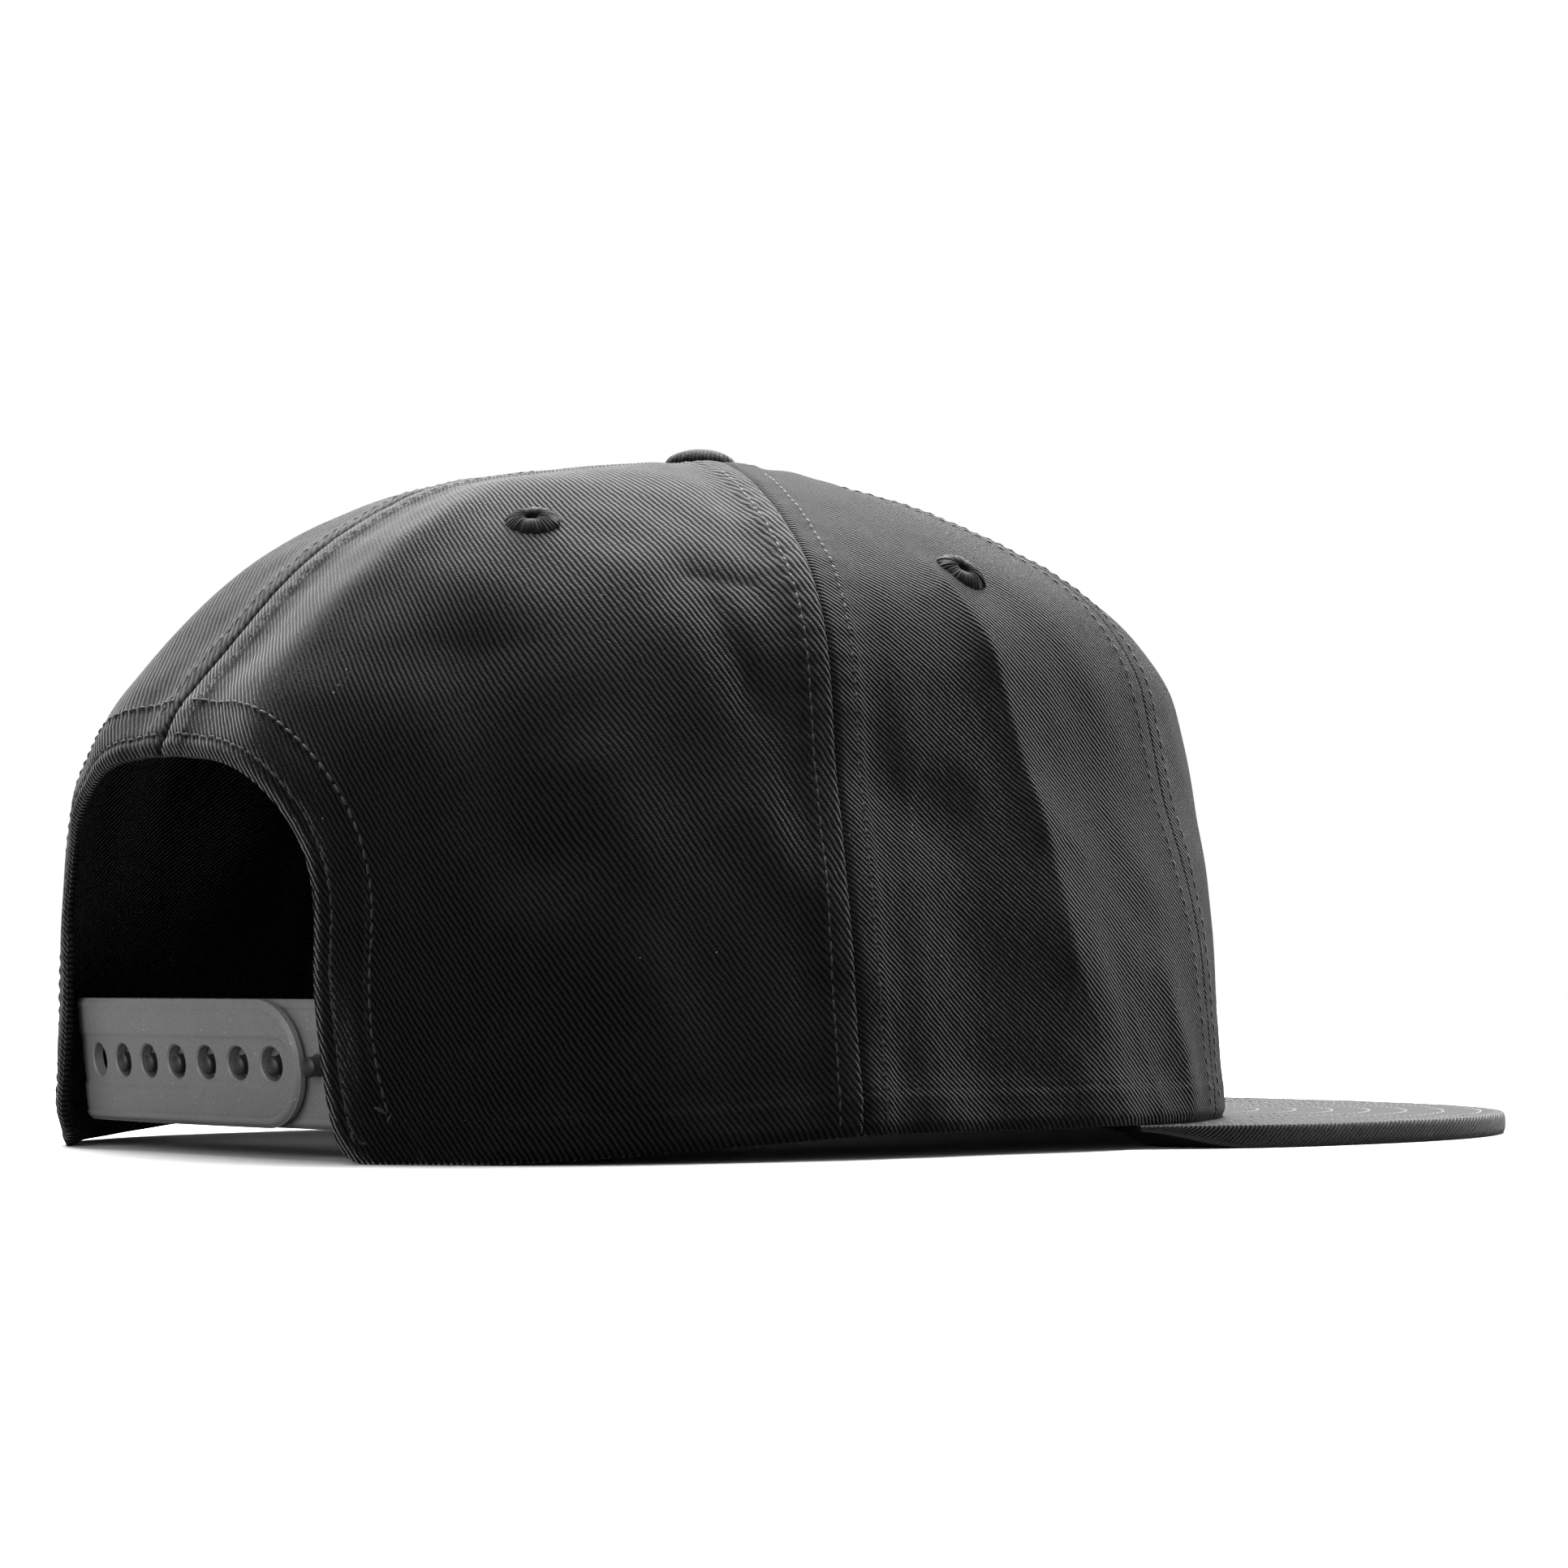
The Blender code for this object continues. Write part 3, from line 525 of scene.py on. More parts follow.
def cloth(azimuth, share, seams):
    """Points of the sewn cloth between two seams, and the bare crown's normals there."""
    points, normals = bare_crown(azimuth, share), crown_normals(azimuth, share)
    height = ring_value(0, share)
    rise = line_folds(FOLDS, azimuth, height, bump) + line_folds(CREASES, azimuth, height, crest)
    for lift, length, seed in UNEVENNESS:
        rise += lift * ripple(points, length, seed)
    way = np.clip((azimuth - seams[0]) / (seams[1] - seams[0]), 0.0, 1.0)
    rise += PANEL_PUFF * np.sin(math.pi * way) ** 0.8
    radius = plan_radius(azimuth, share)
    phase = share * PANEL_LENGTH * 2 * math.pi / PUCKER_LENGTH
    for index, seam in enumerate(seams):
        distance = np.abs(azimuth - seam) * radius
        rise += seam_relief(distance) * (FRONT_SEAM_FIRMNESS if abs(seam) == FRONT_SEAM else 1.0)
        pull = np.sin(phase + PUCKER_DRIFT * ripple(points, PUCKER_DRIFT_LENGTH, 20 + index))
        rise += PUCKER_RISE * pull * bump(distance - TOPSTITCH_OFFSET, PUCKER_WIDTH)
    above_rim, from_opening = edge_distances(points, azimuth, seams)
    rise -= STITCH_GROOVE_DEPTH * bump(above_rim - RIM_STITCH_HEIGHT, STITCH_GROOVE_WIDTH)
    for offset in OPENING_STITCH_OFFSETS:
        rise -= OPENING_GROOVE_DEPTH * bump(from_opening - offset, STITCH_GROOVE_WIDTH)
    rise += hem_relief(points, above_rim, RIM_HEM) + hem_relief(points, from_opening, OPENING_HEM)
    rise -= EDGE_ROUND_DEPTH * bump(np.minimum(above_rim, from_opening), EDGE_ROUND_WIDTH)
    for _, eyelet_azimuth, eyelet_share in EYELETS:
        if seams[0] < eyelet_azimuth < seams[1]:
            gap = np.linalg.norm(points - bare_crown(eyelet_azimuth, eyelet_share), axis=-1)
            for depth, width in EYELET_DENTS:
                rise -= depth * bump(gap, width)
    return points + rise[..., None] * normals, normals


def make_mesh(name, vertices, faces, material=None, uv=None):
    """An object from vertices and faces, smooth, with flat cloth coordinates in metres."""
    mesh = bpy.data.meshes.new(name)
    mesh.from_pydata(np.asarray(vertices).reshape(-1, 3).tolist(), [], faces)
    mesh.shade_smooth()
    if uv is not None:
        layer = mesh.uv_layers.new(name="weave")
        corners = np.empty(len(mesh.loops), dtype=np.int32)
        mesh.loops.foreach_get("vertex_index", corners)
        layer.data.foreach_set("uv", np.asarray(uv, dtype=np.float32).reshape(-1, 2)[corners].ravel())
    if material:
        mesh.materials.append(material)
    item = bpy.data.objects.new(name, mesh)
    bpy.context.scene.collection.objects.link(item)
    return item


def place(item, nodes, slot):
    """Let a piece ride on the cap and replace its solids."""
    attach(item, "root")
    if nodes:
        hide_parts(*nodes)


def grid_faces(rows, columns, offset=0, turned=False):
    """Quads of a grid of vertices."""
    faces = []
    for row in range(rows - 1):
        for column in range(columns - 1):
            first = offset + row * columns + column
            quad = (first, first + 1, first + columns + 1, first + columns)
            faces.append(quad[::-1] if turned else quad)
    return faces


def border_faces(rows, columns, offset):
    """Quads that close the edge between two grids, the second one starting at the offset."""
    border = list(range(columns - 1))
    border += [row * columns + columns - 1 for row in range(rows - 1)]
    border += [(rows - 1) * columns + column for column in range(columns - 1, 0, -1)]
    border += [row * columns for row in range(rows - 1, 0, -1)]
    return [(second, first, offset + first, offset + second)
            for first, second in zip(border, border[1:] + border[:1])]


def shell_faces(rows, columns, turned=False):
    """Quads of a closed shell: a grid, a second grid behind it and the edge between them."""
    total = rows * columns
    faces = grid_faces(rows, columns, 0, turned) + grid_faces(rows, columns, total, not turned)
    edges = border_faces(rows, columns, total)
    return faces + ([face[::-1] for face in edges] if turned else edges)


def tube_faces(rings, sides):
    """Quads between rings of vertices."""
    faces = []
    for ring in range(rings - 1):
        for side in range(sides):
            here, following = ring * sides + side, ring * sides + (side + 1) % sides
            faces.append((here, following, following + sides, here + sides))
    return faces


def round_turns(sides):
    """Angles of the sides of something round."""
    return 2 * math.pi * np.arange(sides) / sides


def turned_mesh(profile, sides):
    """Vertices and faces of a profile of radius and height turned about Z, closed at both ends."""
    turns = round_turns(sides)
    rings = [np.stack([radius * np.cos(turns), radius * np.sin(turns), np.full(sides, height)], axis=-1)
             for radius, height in profile]
    last = (len(profile) - 1) * sides
    ends = [tuple(reversed(range(sides))), tuple(range(last, last + sides))]
    return np.concatenate(rings), tube_faces(len(profile), sides) + ends


def turn_to(direction):
    """What rows of points are multiplied by to turn Z to a direction."""
    return np.array(Vector((0, 0, 1)).rotation_difference(Vector(direction)).to_matrix()).T


def join_copies(copies, shape_faces):
    """Vertices and faces of placed copies of one shape."""
    size = len(copies[0])
    faces = [tuple(index * size + corner for corner in face)
             for index in range(len(copies)) for face in shape_faces]
    return np.concatenate(copies), faces


def spaced(start, end, degrees):
    """Azimuths from one to another, about so many degrees apart."""
    return np.linspace(start, end, round((end - start) / math.radians(degrees)) + 1)


def panel_columns(seams):
    """Azimuths of a panel's columns, closer together beside the opening."""
    if not is_back(seams):
        return spaced(seams[0], seams[1], 0.5)
    foot = abs(float(back_surface(OPENING_HALF_WIDTH + OPENING_FOOT_FLARE, 0.0)[0]))
    near, far = foot - math.radians(2.6), foot + math.radians(5)
    parts = [spaced(SIDE_SEAM, near, 0.42), np.linspace(near, far, 76)[1:],
             spaced(far, BACK_SEAM, 0.36)[1:]]
    # More columns where the opening's side turns upright, because the cloth's edge jumps there
    spring = abs(float(back_surface(OPENING_HALF_WIDTH, OPENING_SPRING_HEIGHT)[0]))
    gaps = np.array([0.01, 0.03, 0.08]) * MM / BACK_REACH
    columns = np.union1d(np.concatenate(parts), spring + np.concatenate([-gaps, gaps]))
    return columns if seams[1] > 0 else -columns[::-1]


def make_panel(name, seams, material):
    """One panel of the crown: its outer face, its lining side and the rolled edges between."""
    columns = panel_columns(seams)
    shares = np.linspace(0.001, 1.0, 900)
    tip = float(np.interp(TIP_RADIUS, plan_radius(math.pi / 2, shares), shares))
    down = np.concatenate([np.linspace(0.0, EDGE_ROWS_SHARE, PANEL_ROWS - EDGE_ROWS),
                           np.linspace(EDGE_ROWS_SHARE, 1.0, EDGE_ROWS + 1)[1:]])
    share = tip + down[:, None] * (end_shares(columns)[None, :] - tip)
    # A hair's breadth is left free along both seams
    middle = (seams[0] + seams[1]) / 2
    margin = PANEL_MARGIN / plan_radius(columns + 0.0 * share, share)
    azimuth = middle + (columns - middle) * (1 - 2 * margin / (seams[1] - seams[0]))
    outer, normals = cloth(azimuth, share, seams)
    edge = np.minimum(*edge_distances(outer, azimuth, seams))
    depth = CLOTH - 0.5 * CLOTH * bump(edge, 1.2 * EDGE_ROUND_WIDTH)
    inner = outer - depth[..., None] * normals
    # The cloth unrolled from the panel's middle line, in metres
    line = tip + down * (1 - tip)
    steps = np.linalg.norm(np.diff(bare_crown(np.full(len(down), middle), line), axis=0), axis=-1)
    along = np.interp(share, line, np.concatenate([[0.0], np.cumsum(steps)]))
    uv = np.stack([(azimuth - middle) * plan_radius(azimuth, share), -along], axis=-1)
    faces = shell_faces(*share.shape)
    return make_mesh("cloth_" + name, np.stack([outer, inner]), faces, material, np.stack([uv, uv]))


def stitch_shape():
    """Vertices and faces of one stitch along X, bent so that its ends go into the cloth."""
    turns = round_turns(STITCH_SIDES)
    rings = []
    for along, thick in STITCH_RINGS:
        across, up = thick * np.cos(turns), thick * np.sin(turns) + 0.35 - 4.4 * along ** 2
        level = np.full(STITCH_SIDES, along * STITCH_LENGTH)
        rings.append(np.stack([level, STITCH_RADIUS * across, STITCH_RADIUS * up], axis=-1))
    return np.concatenate(rings), tube_faces(len(STITCH_RINGS), STITCH_SIDES)


def on_path(at, length, values):
    """Points or normals of a path at a length along it."""
    return np.array([np.interp(at, length, values[:, axis]) for axis in range(3)])


def sew(paths):
    """Vertices and faces of stitches along paths of points with normals."""
    shape, shape_faces = stitch_shape()
    source = np.random.RandomState(11)
    copies = []
    for points, normals, pitch in paths:
        steps = np.linalg.norm(np.diff(points, axis=0), axis=-1)
        length = np.concatenate([[0.0], np.cumsum(steps)])
        for index in range(int(length[-1] / pitch)):
            at = (index + 0.5) * pitch
            start = on_path(at - 0.3 * pitch, length, points)
            end = on_path(at + 0.3 * pitch, length, points)
            along = unit(end - start)
            side = unit(np.cross(unit(on_path(at, length, normals)), along))
            shift, turn = source.normal(0, STITCH_SHIFT), source.normal(0, STITCH_TURN)
            along, side = along + turn * side, side - turn * along
            centre = (start + end) / 2 + shift * side
            copies.append(centre + shape @ np.stack([along, side, np.cross(along, side)]))
    return join_copies(copies, shape_faces)


def beside_seam(seam, inward, share):
    """Azimuths of the row of stitches beside a seam."""
    return seam + inward * TOPSTITCH_OFFSET / plan_radius(np.full(share.shape, seam), share)


def crown_paths():
    """Where the crown is topstitched: beside seams, above the rim and round the opening."""
    paths = []
    for seams in PANELS.values():
        for seam, inward in zip(seams, (1, -1)):
            share = np.linspace(*SEAM_STITCH_SHARES, 260)
            if abs(seam) == BACK_SEAM:
                top = end_shares(beside_seam(seam, inward, share[-1:]))[0]
                share = np.linspace(SEAM_STITCH_SHARES[0], top - SEAM_STITCH_END_GAP, 260)
            paths.append((*cloth(beside_seam(seam, inward, share), share, seams), STITCH_PITCH))
        start, end = sorted(seams, key=abs)
        if abs(end) == BACK_SEAM:
            end = math.copysign(RIM_STITCH_END, end)
        azimuth = np.linspace(start, end, 300)
        heights = RIM_STITCH_HEIGHT / (CROWN_HEIGHT - rim_height(azimuth))
        points, normals = cloth(azimuth, share_at_height(heights), seams)
        paths.append((points - RIM_STITCH_SINK * normals, normals, STITCH_PITCH))
    for offset in OPENING_STITCH_OFFSETS:
        azimuth, share = opening_path(offset)
        for hand, name in ((1, "back_panel_right"), (-1, "back_panel_left")):
            half = (azimuth * hand > 0) & (np.abs(azimuth) < BACK_SEAM - 0.004)
            paths.append((*cloth(azimuth[half], share[half], PANELS[name]), STITCH_PITCH))
    return paths


def bill_radius(azimuth):
    """Distance from the button's axis to the bill's outer edge."""
    low, high = np.zeros(azimuth.shape), np.full(azimuth.shape, 2 * BILL_REACH)
    for _ in range(45):
        middle = (low + high) / 2
        x = np.abs(middle * np.sin(azimuth))
        ahead = middle * np.cos(azimuth) - BILL_WIDEST_REACH
        length = np.where(ahead > 0, BILL_REACH - BILL_WIDEST_REACH, BILL_TAIL_LENGTH)
        level = (x / BILL_HALF_WIDTH) ** BILL_SQUARENESS + (np.abs(ahead) / length) ** BILL_SQUARENESS
        high = np.where(level > 1, middle, high)
        low = np.where(level > 1, low, middle)
    return low


def bill_outline(count):
    """Points of the bill's outer edge in plan, and their outward directions."""
    azimuth = np.linspace(-BILL_TAIL, BILL_TAIL, count)
    points = around(azimuth, bill_radius(azimuth), np.zeros(count))
    tangent = unit(np.gradient(points, axis=0))
    return points, np.stack([-tangent[:, 1], tangent[:, 0], np.zeros(count)], axis=-1)


def rim_radius(azimuth):
    """Distance from the button's axis to the crown's foot."""
    return plan_radius(azimuth, np.ones_like(azimuth))


def bill_section(inner, outer):
    """Distances and heights of the rows round the bill's section, and the count of rows on a face."""
    half = np.full(BILL_COLUMNS, BILL_THICKNESS / 2)
    rounding = np.minimum(BILL_ROUNDING, 0.45 * (outer - inner))
    # Along the top to the edge, round it, and back along the underside
    top = [inner + share * (outer - rounding - inner) for share in np.linspace(0.0, 1.0, BILL_ACROSS)]
    rows = [(radius, half) for radius in top]
    for turn in np.linspace(-math.pi / 2, math.pi / 2, BILL_BENDS + 2)[1:-1]:
        level = -math.copysign(abs(math.sin(turn)) ** BILL_EDGE_FLATNESS, turn)
        rows.append((outer - rounding * (1 - math.cos(turn) ** BILL_EDGE_FLATNESS), level * half))
    rows += [(radius, -half) for radius in top[::-1]]
    return np.stack([row[0] for row in rows]), np.stack([row[1] for row in rows])


def make_bill(material, painted_light_edge_material):
    """The bill: two layers of twill over a board, quilted by rows of stitches."""
    azimuth = np.linspace(-BILL_TAIL, BILL_TAIL, BILL_COLUMNS)
    inner = rim_radius(azimuth) - BILL_TUCK
    outer = np.maximum(bill_radius(azimuth), inner + 1.2 * MM)
    radius, height = bill_section(inner, outer)
    points = around(azimuth, radius, np.zeros_like(radius))
    from_edge = distances(points, bill_outline(500)[0])
    dip = 0.05 * MM * (1 + ripple(points, 16 * MM, 51))
    for offset in BILL_ROWS:
        dip += BILL_QUILTING * bump(from_edge - offset, 0.8 * MM)
    flat = np.abs(height) > 0.98 * BILL_THICKNESS / 2
    height = height - np.sign(height) * dip * flat
    # The board lies flat on the surface, and gets thinner towards its tails
    thinner = BILL_TAIL_LIFT * smoothstep(BILL_THINNING, BILL_TAIL, np.abs(azimuth))
    level = 0.5 + height / BILL_THICKNESS
    points[..., 2] = np.maximum(thinner + level * (BILL_THICKNESS - thinner), 0.0)
    # The cloth unrolled from the inner edge, over the top and round the outer edge
    travel = np.cumsum(np.hypot(np.diff(radius, axis=0), np.diff(height, axis=0)), axis=0)
    unrolled = inner + np.concatenate([np.zeros((1, BILL_COLUMNS)), travel])
    uv = np.stack([-unrolled * np.sin(azimuth), -unrolled * np.cos(azimuth)], axis=-1)
    rows, columns = radius.shape
    faces = grid_faces(rows, columns, turned=True)
    below = (rows - 1) * columns
    faces += [(below + column, below + column + 1, column + 1, column) for column in range(columns - 1)]
    faces.append(tuple(row * columns for row in range(rows)))
    faces.append(tuple(row * columns + columns - 1 for row in range(rows - 1, -1, -1)))
    bill = make_mesh("bill_cover", points, faces, material, uv)
    # The rolled edge's faces take the lighter twill: painted light on the bill's edge
    bill.data.materials.append(painted_light_edge_material)
    first, last = (BILL_ACROSS - 2) * (columns - 1), (BILL_ACROSS + BILL_BENDS) * (columns - 1)
    for polygon in bill.data.polygons[first:last]:
        polygon.material_index = 1
    return bill


def bill_paths():
    """Rows of stitches that follow the bill's edge, on its top and on its underside."""
    paths = []
    outline, outward = bill_outline(700)
    for offset in BILL_ROWS:
        points = outline - offset * outward
        ahead = AXIS_Y - points[:, 1]
        azimuth = np.arctan2(-points[:, 0], ahead)
        bare = np.hypot(points[:, 0], ahead) > rim_radius(azimuth) + 2.0 * MM
        below = bare & (np.abs(azimuth) < BILL_THINNING)
        sides = ((bare, BILL_THICKNESS - BILL_STITCH_SINK, 1.0), (below, BILL_STITCH_SINK, -1.0))
        for shown, height, up in sides:
            if shown.sum() >= 20:
                lifted = points[shown] + np.array([0.0, 0.0, height])
                paths.append((lifted, np.tile([0.0, 0.0, up], (len(lifted), 1)), BILL_STITCH_PITCH))
    return paths


def make_button(material):
    """The button: a dome covered with cloth that is gathered under its edge."""
    rise = BUTTON_HIGH[2] - CROWN_HEIGHT - 0.6 * MM
    profile = [(3.0 * MM, BUTTON_FOOT - 1.5 * MM), (5.0 * MM, BUTTON_FOOT - 0.1 * MM)]
    for step in range(17):
        turn = math.radians(-22 + 110 * step / 16)
        height = BUTTON_FOOT + 0.9 * MM + rise * math.sin(turn)
        profile.append((BUTTON_RADIUS * math.cos(turn), height))
    vertices, faces = turned_mesh(profile, BUTTON_SIDES)
    turn = np.arctan2(vertices[:, 1], vertices[:, 0])
    pull = bump(np.hypot(vertices[:, 0], vertices[:, 1]) - BUTTON_RADIUS, 1.3 * MM)
    vertices[:, 2] += 0.10 * MM * pull * (np.sin(13 * turn) + 0.6 * np.sin(22 * turn + 1.0))
    uv = vertices[:, :2] * 1.15
    return make_mesh("button_cover", vertices + np.array([0.0, AXIS_Y, 0.0]), faces, material, uv)


def make_eyelet(name, azimuth, share, material):
    """An embroidered eyelet: radial satin stitches round a small hole."""
    seams = next(pair for pair in PANELS.values() if pair[0] < azimuth < pair[1])
    # The cloth's level and direction, from a ring just outside the thread
    turns = np.linspace(0.0, 2 * math.pi, 24, endpoint=False)
    reach, step = 1.1 * EYELET_RADIUS, 0.01
    slope = np.linalg.norm(bare_crown(azimuth, share + step) - bare_crown(azimuth, share - step))
    ring, normals = cloth(azimuth + reach * np.cos(turns) / plan_radius(azimuth, share),
                          share + reach * np.sin(turns) * 2 * step / slope, seams)
    normal = unit(normals.mean(axis=0))
    centre = ring.mean(axis=0) - EYELET_SET_IN * normal
    source = np.random.RandomState(int(abs(azimuth) * 100))
    lengths = source.uniform(-0.35, 0.3, EYELET_THREADS) * MM
    heights = source.uniform(-0.08, 0.08, EYELET_THREADS) * MM
    sides = EYELET_THREADS * EYELET_THREAD_SIDES
    side = np.arange(sides)
    thread, turn = side // EYELET_THREAD_SIDES, round_turns(sides)
    ridge = np.sin(math.pi * (side % EYELET_THREAD_SIDES) / EYELET_THREAD_SIDES)
    way = np.linspace(0.0, 1.0, EYELET_RINGS)[:, None]
    edge = EYELET_RADIUS + lengths[thread] * ridge
    radius = EYELET_HOLE_RADIUS + way * (edge - EYELET_HOLE_RADIUS)
    dome = np.maximum(np.sin(math.pi * (0.12 + 0.88 * way) ** 0.75), 0.0) ** 0.75
    texture = (0.16 * MM * ridge + heights[thread]) * np.minimum(1.0, 2.5 * dome)
    # The first ring is the foot of the hole's wall
    radius = np.vstack([np.full(sides, 0.9 * EYELET_HOLE_RADIUS), radius])
    height = np.vstack([np.full(sides, -1.0 * MM), EYELET_RISE * dome + texture])
    vertices = np.stack([radius * np.cos(turn), radius * np.sin(turn), height], axis=-1)
    faces = [quad[:1] + quad[:0:-1] for quad in tube_faces(EYELET_RINGS + 1, sides)]
    return make_mesh("satin_" + name, vertices @ turn_to(normal) + centre, faces, material)


def strap_path(x, inset):
    """Distance behind the button's axis of a strap's middle face."""
    top = STRAP_FOOT + STRAP_HEIGHT
    slope = (back_wall(x + SLOPE_STEP, top) - back_wall(x - SLOPE_STEP, top)) / (2 * SLOPE_STEP)
    hem = back_wall(x, top) - (1.6 * MM + HEM_GAP + STRAP_THICKNESS / 2) * np.hypot(1.0, slope)
    bow = BACK_REACH - STRAP_INSET - x * x / (2 * STRAP_BOW_RADIUS)
    # The lower of the two, with a soft change from one to the other
    soft = STRAP_BLEND * np.log1p(np.exp(-np.abs(hem - bow) / STRAP_BLEND))
    # Where the straps lap, the inner one is set in
    ease = smoothstep(STRAP_END_X - 10 * STRAP_THICKNESS, STRAP_END_X - 2 * STRAP_THICKNESS, x)
    return np.minimum(hem, bow) - soft - inset * ease


def strap_points(x, height, inset, lift):
    """Points of a strap at places along it and heights, lifted from its middle face."""
    slope = strap_path(x + SLOPE_STEP, inset) - strap_path(x - SLOPE_STEP, inset)
    lean = STRAP_LEAN * (height - STRAP_FOOT - STRAP_HEIGHT)
    middle = np.stack([x, AXIS_Y + strap_path(x, inset) + lean, height], axis=-1)
    normal = unit(np.stack([-slope / (2 * SLOPE_STEP), np.ones_like(x), np.full_like(x, -STRAP_LEAN)],
                           axis=-1))
    return middle + lift[..., None] * normal, normal


def rounded_edge_distance(x, height, free_x, way, half_height, corner):
    """Distance inside the outline of a strip with a rounded free end."""
    along = way * (x - free_x) + corner
    up = np.abs(height - STRAP_FOOT - STRAP_HEIGHT / 2) - (half_height - corner)
    outside = np.hypot(np.maximum(along, 0.0), np.maximum(up, 0.0))
    return corner - outside - np.minimum(np.maximum(along, up), 0.0)


def strap_relief(x, height, inside, way, holed):
    """A strap's raised border and, on the holed strap, the sunk channel along its middle."""
    relief = -0.12 * MM * bump(inside - BORDER_INSET, 0.16 * MM)
    relief += 0.07 * MM * (1 - smoothstep(BORDER_INSET - 0.2 * MM, BORDER_INSET + 0.2 * MM, inside))
    if holed:
        end = SNAP_XS[-1] + way * CHANNEL_END
        into = rounded_edge_distance(x, height, end, way, CHANNEL_HALF_HEIGHT, CHANNEL_CORNER)
        relief -= CHANNEL_DEPTH * smoothstep(-0.12 * MM, 0.12 * MM, into)
        relief -= 0.06 * MM * bump(into - 0.9 * MM, 0.14 * MM)
    return relief


def make_strap(name, tucked_x, free_x, inset, material, holed):
    """A moulded strap with a rounded free end."""
    way = math.copysign(1.0, free_x - tucked_x)
    half = STRAP_HEIGHT / 2
    straight = free_x - way * STRAP_CORNER
    turns = np.linspace(0.0, math.pi / 2, STRAP_CORNER_COLUMNS + 1)[1:]
    xs = np.concatenate([np.linspace(tucked_x, straight, STRAP_COLUMNS),
                         straight + way * STRAP_CORNER * np.sin(turns)])
    halves = np.concatenate([np.full(STRAP_COLUMNS, half), half - STRAP_CORNER * (1 - np.cos(turns))])
    even = np.linspace(-1.0, 1.0, STRAP_LEVELS)
    levels = 0.35 * np.sin(math.pi / 2 * even) + 0.65 * even
    x = np.repeat(xs[:, None], STRAP_LEVELS, axis=1)
    height = STRAP_FOOT + half + halves[:, None] * levels[None, :]
    inside = rounded_edge_distance(x, height, free_x, way, half, STRAP_CORNER)
    rounding = STRAP_ROUNDING * bump(np.maximum(inside, 0.0), 0.45 * MM)
    relief = strap_relief(x, height, inside, way, holed)
    outer, _ = strap_points(x, height, inset, STRAP_THICKNESS / 2 + relief - rounding)
    inner, _ = strap_points(x, height, inset, -STRAP_THICKNESS / 2 + rounding)
    return make_mesh(name, np.stack([outer, inner]), shell_faces(*x.shape, way < 0), material)


def along_strap(profile, sides, xs, inset, lift):
    """Copies of a turned shape in a row along a strap's middle line."""
    shape, shape_faces = turned_mesh(profile, sides)
    copies = []
    for x in xs:
        spot, normal = strap_points(np.array([x]), np.array([STRAP_FOOT + STRAP_HEIGHT / 2]),
                                    inset, np.array([lift]))
        copies.append(shape @ turn_to(normal[0]) + spot[0])
    return join_copies(copies, shape_faces)


def cut_holes(strap):
    """Cut the row of round holes, each a little wider at the strap's outer face."""
    face = STRAP_THICKNESS / 2 - CHANNEL_DEPTH
    wide = HOLE_RADIUS + 1.15 * HOLE_CHAMFER
    profile = [(HOLE_RADIUS, -2 * STRAP_THICKNESS), (HOLE_RADIUS, face - HOLE_CHAMFER),
               (wide, face + 0.1 * HOLE_CHAMFER), (wide, 2 * STRAP_THICKNESS)]
    cutter = make_mesh("holes", *along_strap(profile, 40, SNAP_XS, 0.0, 0.0))
    modifier = strap.modifiers.new("holes", "BOOLEAN")
    modifier.operation, modifier.solver, modifier.object = "DIFFERENCE", "EXACT", cutter
    graph = bpy.context.evaluated_depsgraph_get()
    cut = bpy.data.meshes.new_from_object(strap.evaluated_get(graph))
    strap.modifiers.clear()
    strap.data = cut
    bpy.data.objects.remove(cutter, do_unlink=True)
    cut.shade_smooth()
    cut.set_sharp_from_angle(angle=math.radians(38))


def make_posts(material):
    """The row of domed posts on the inner strap."""
    length = LAP_INSET + POST_PROUD
    neck = length - POST_DOME
    profile = [(POST_RADIUS + 0.35 * MM, -0.3 * MM), (POST_RADIUS + 0.12 * MM, 0.15 * MM),
               (POST_RADIUS - 0.1 * MM, 0.5 * MM), (POST_RADIUS - 0.08 * MM, neck - 0.3 * MM)]
    for step in range(8):
        turn = math.pi / 2 * step / 8
        profile.append((POST_RADIUS * math.cos(turn), neck + POST_DOME * math.sin(turn)))
    profile.append((0.05 * POST_RADIUS, length))
    row = along_strap(profile, 32, POST_XS, LAP_INSET, STRAP_THICKNESS / 2)
    return make_mesh("strap_post_row", *row, material)


def new_material(name):
    """An empty procedural material and its shader."""
    material = bpy.data.materials.new(name)
    material.use_nodes = True
    tree = material.node_tree
    return material, tree, tree.nodes["Principled BSDF"]


def set_inputs(node, inputs):
    """Set inputs of a node, each to a value or from another node's socket."""
    for key, value in inputs.items():
        if isinstance(value, bpy.types.NodeSocket):
            node.id_data.links.new(value, node.inputs[key])
        else:
            node.inputs[key].default_value = value


def add_node(tree, kind, inputs, operation=None):
    """A new shader node with its inputs."""
    node = tree.nodes.new("ShaderNode" + kind)
    if operation:
        node.operation = operation
    set_inputs(node, inputs)
    return node


def math_node(tree, operation, *values):
    """A math node whose inputs are sockets or numbers."""
    return add_node(tree, "Math", dict(enumerate(values)), operation).outputs[0]


def noise_node(tree, vector, scale, detail, roughness=0.5, output="Fac"):
    """Noise between 0 and 1, as a value or as a colour."""
    inputs = {"Vector": vector, "Scale": scale, "Detail": detail, "Roughness": roughness}
    return add_node(tree, "TexNoise", inputs).outputs[output]


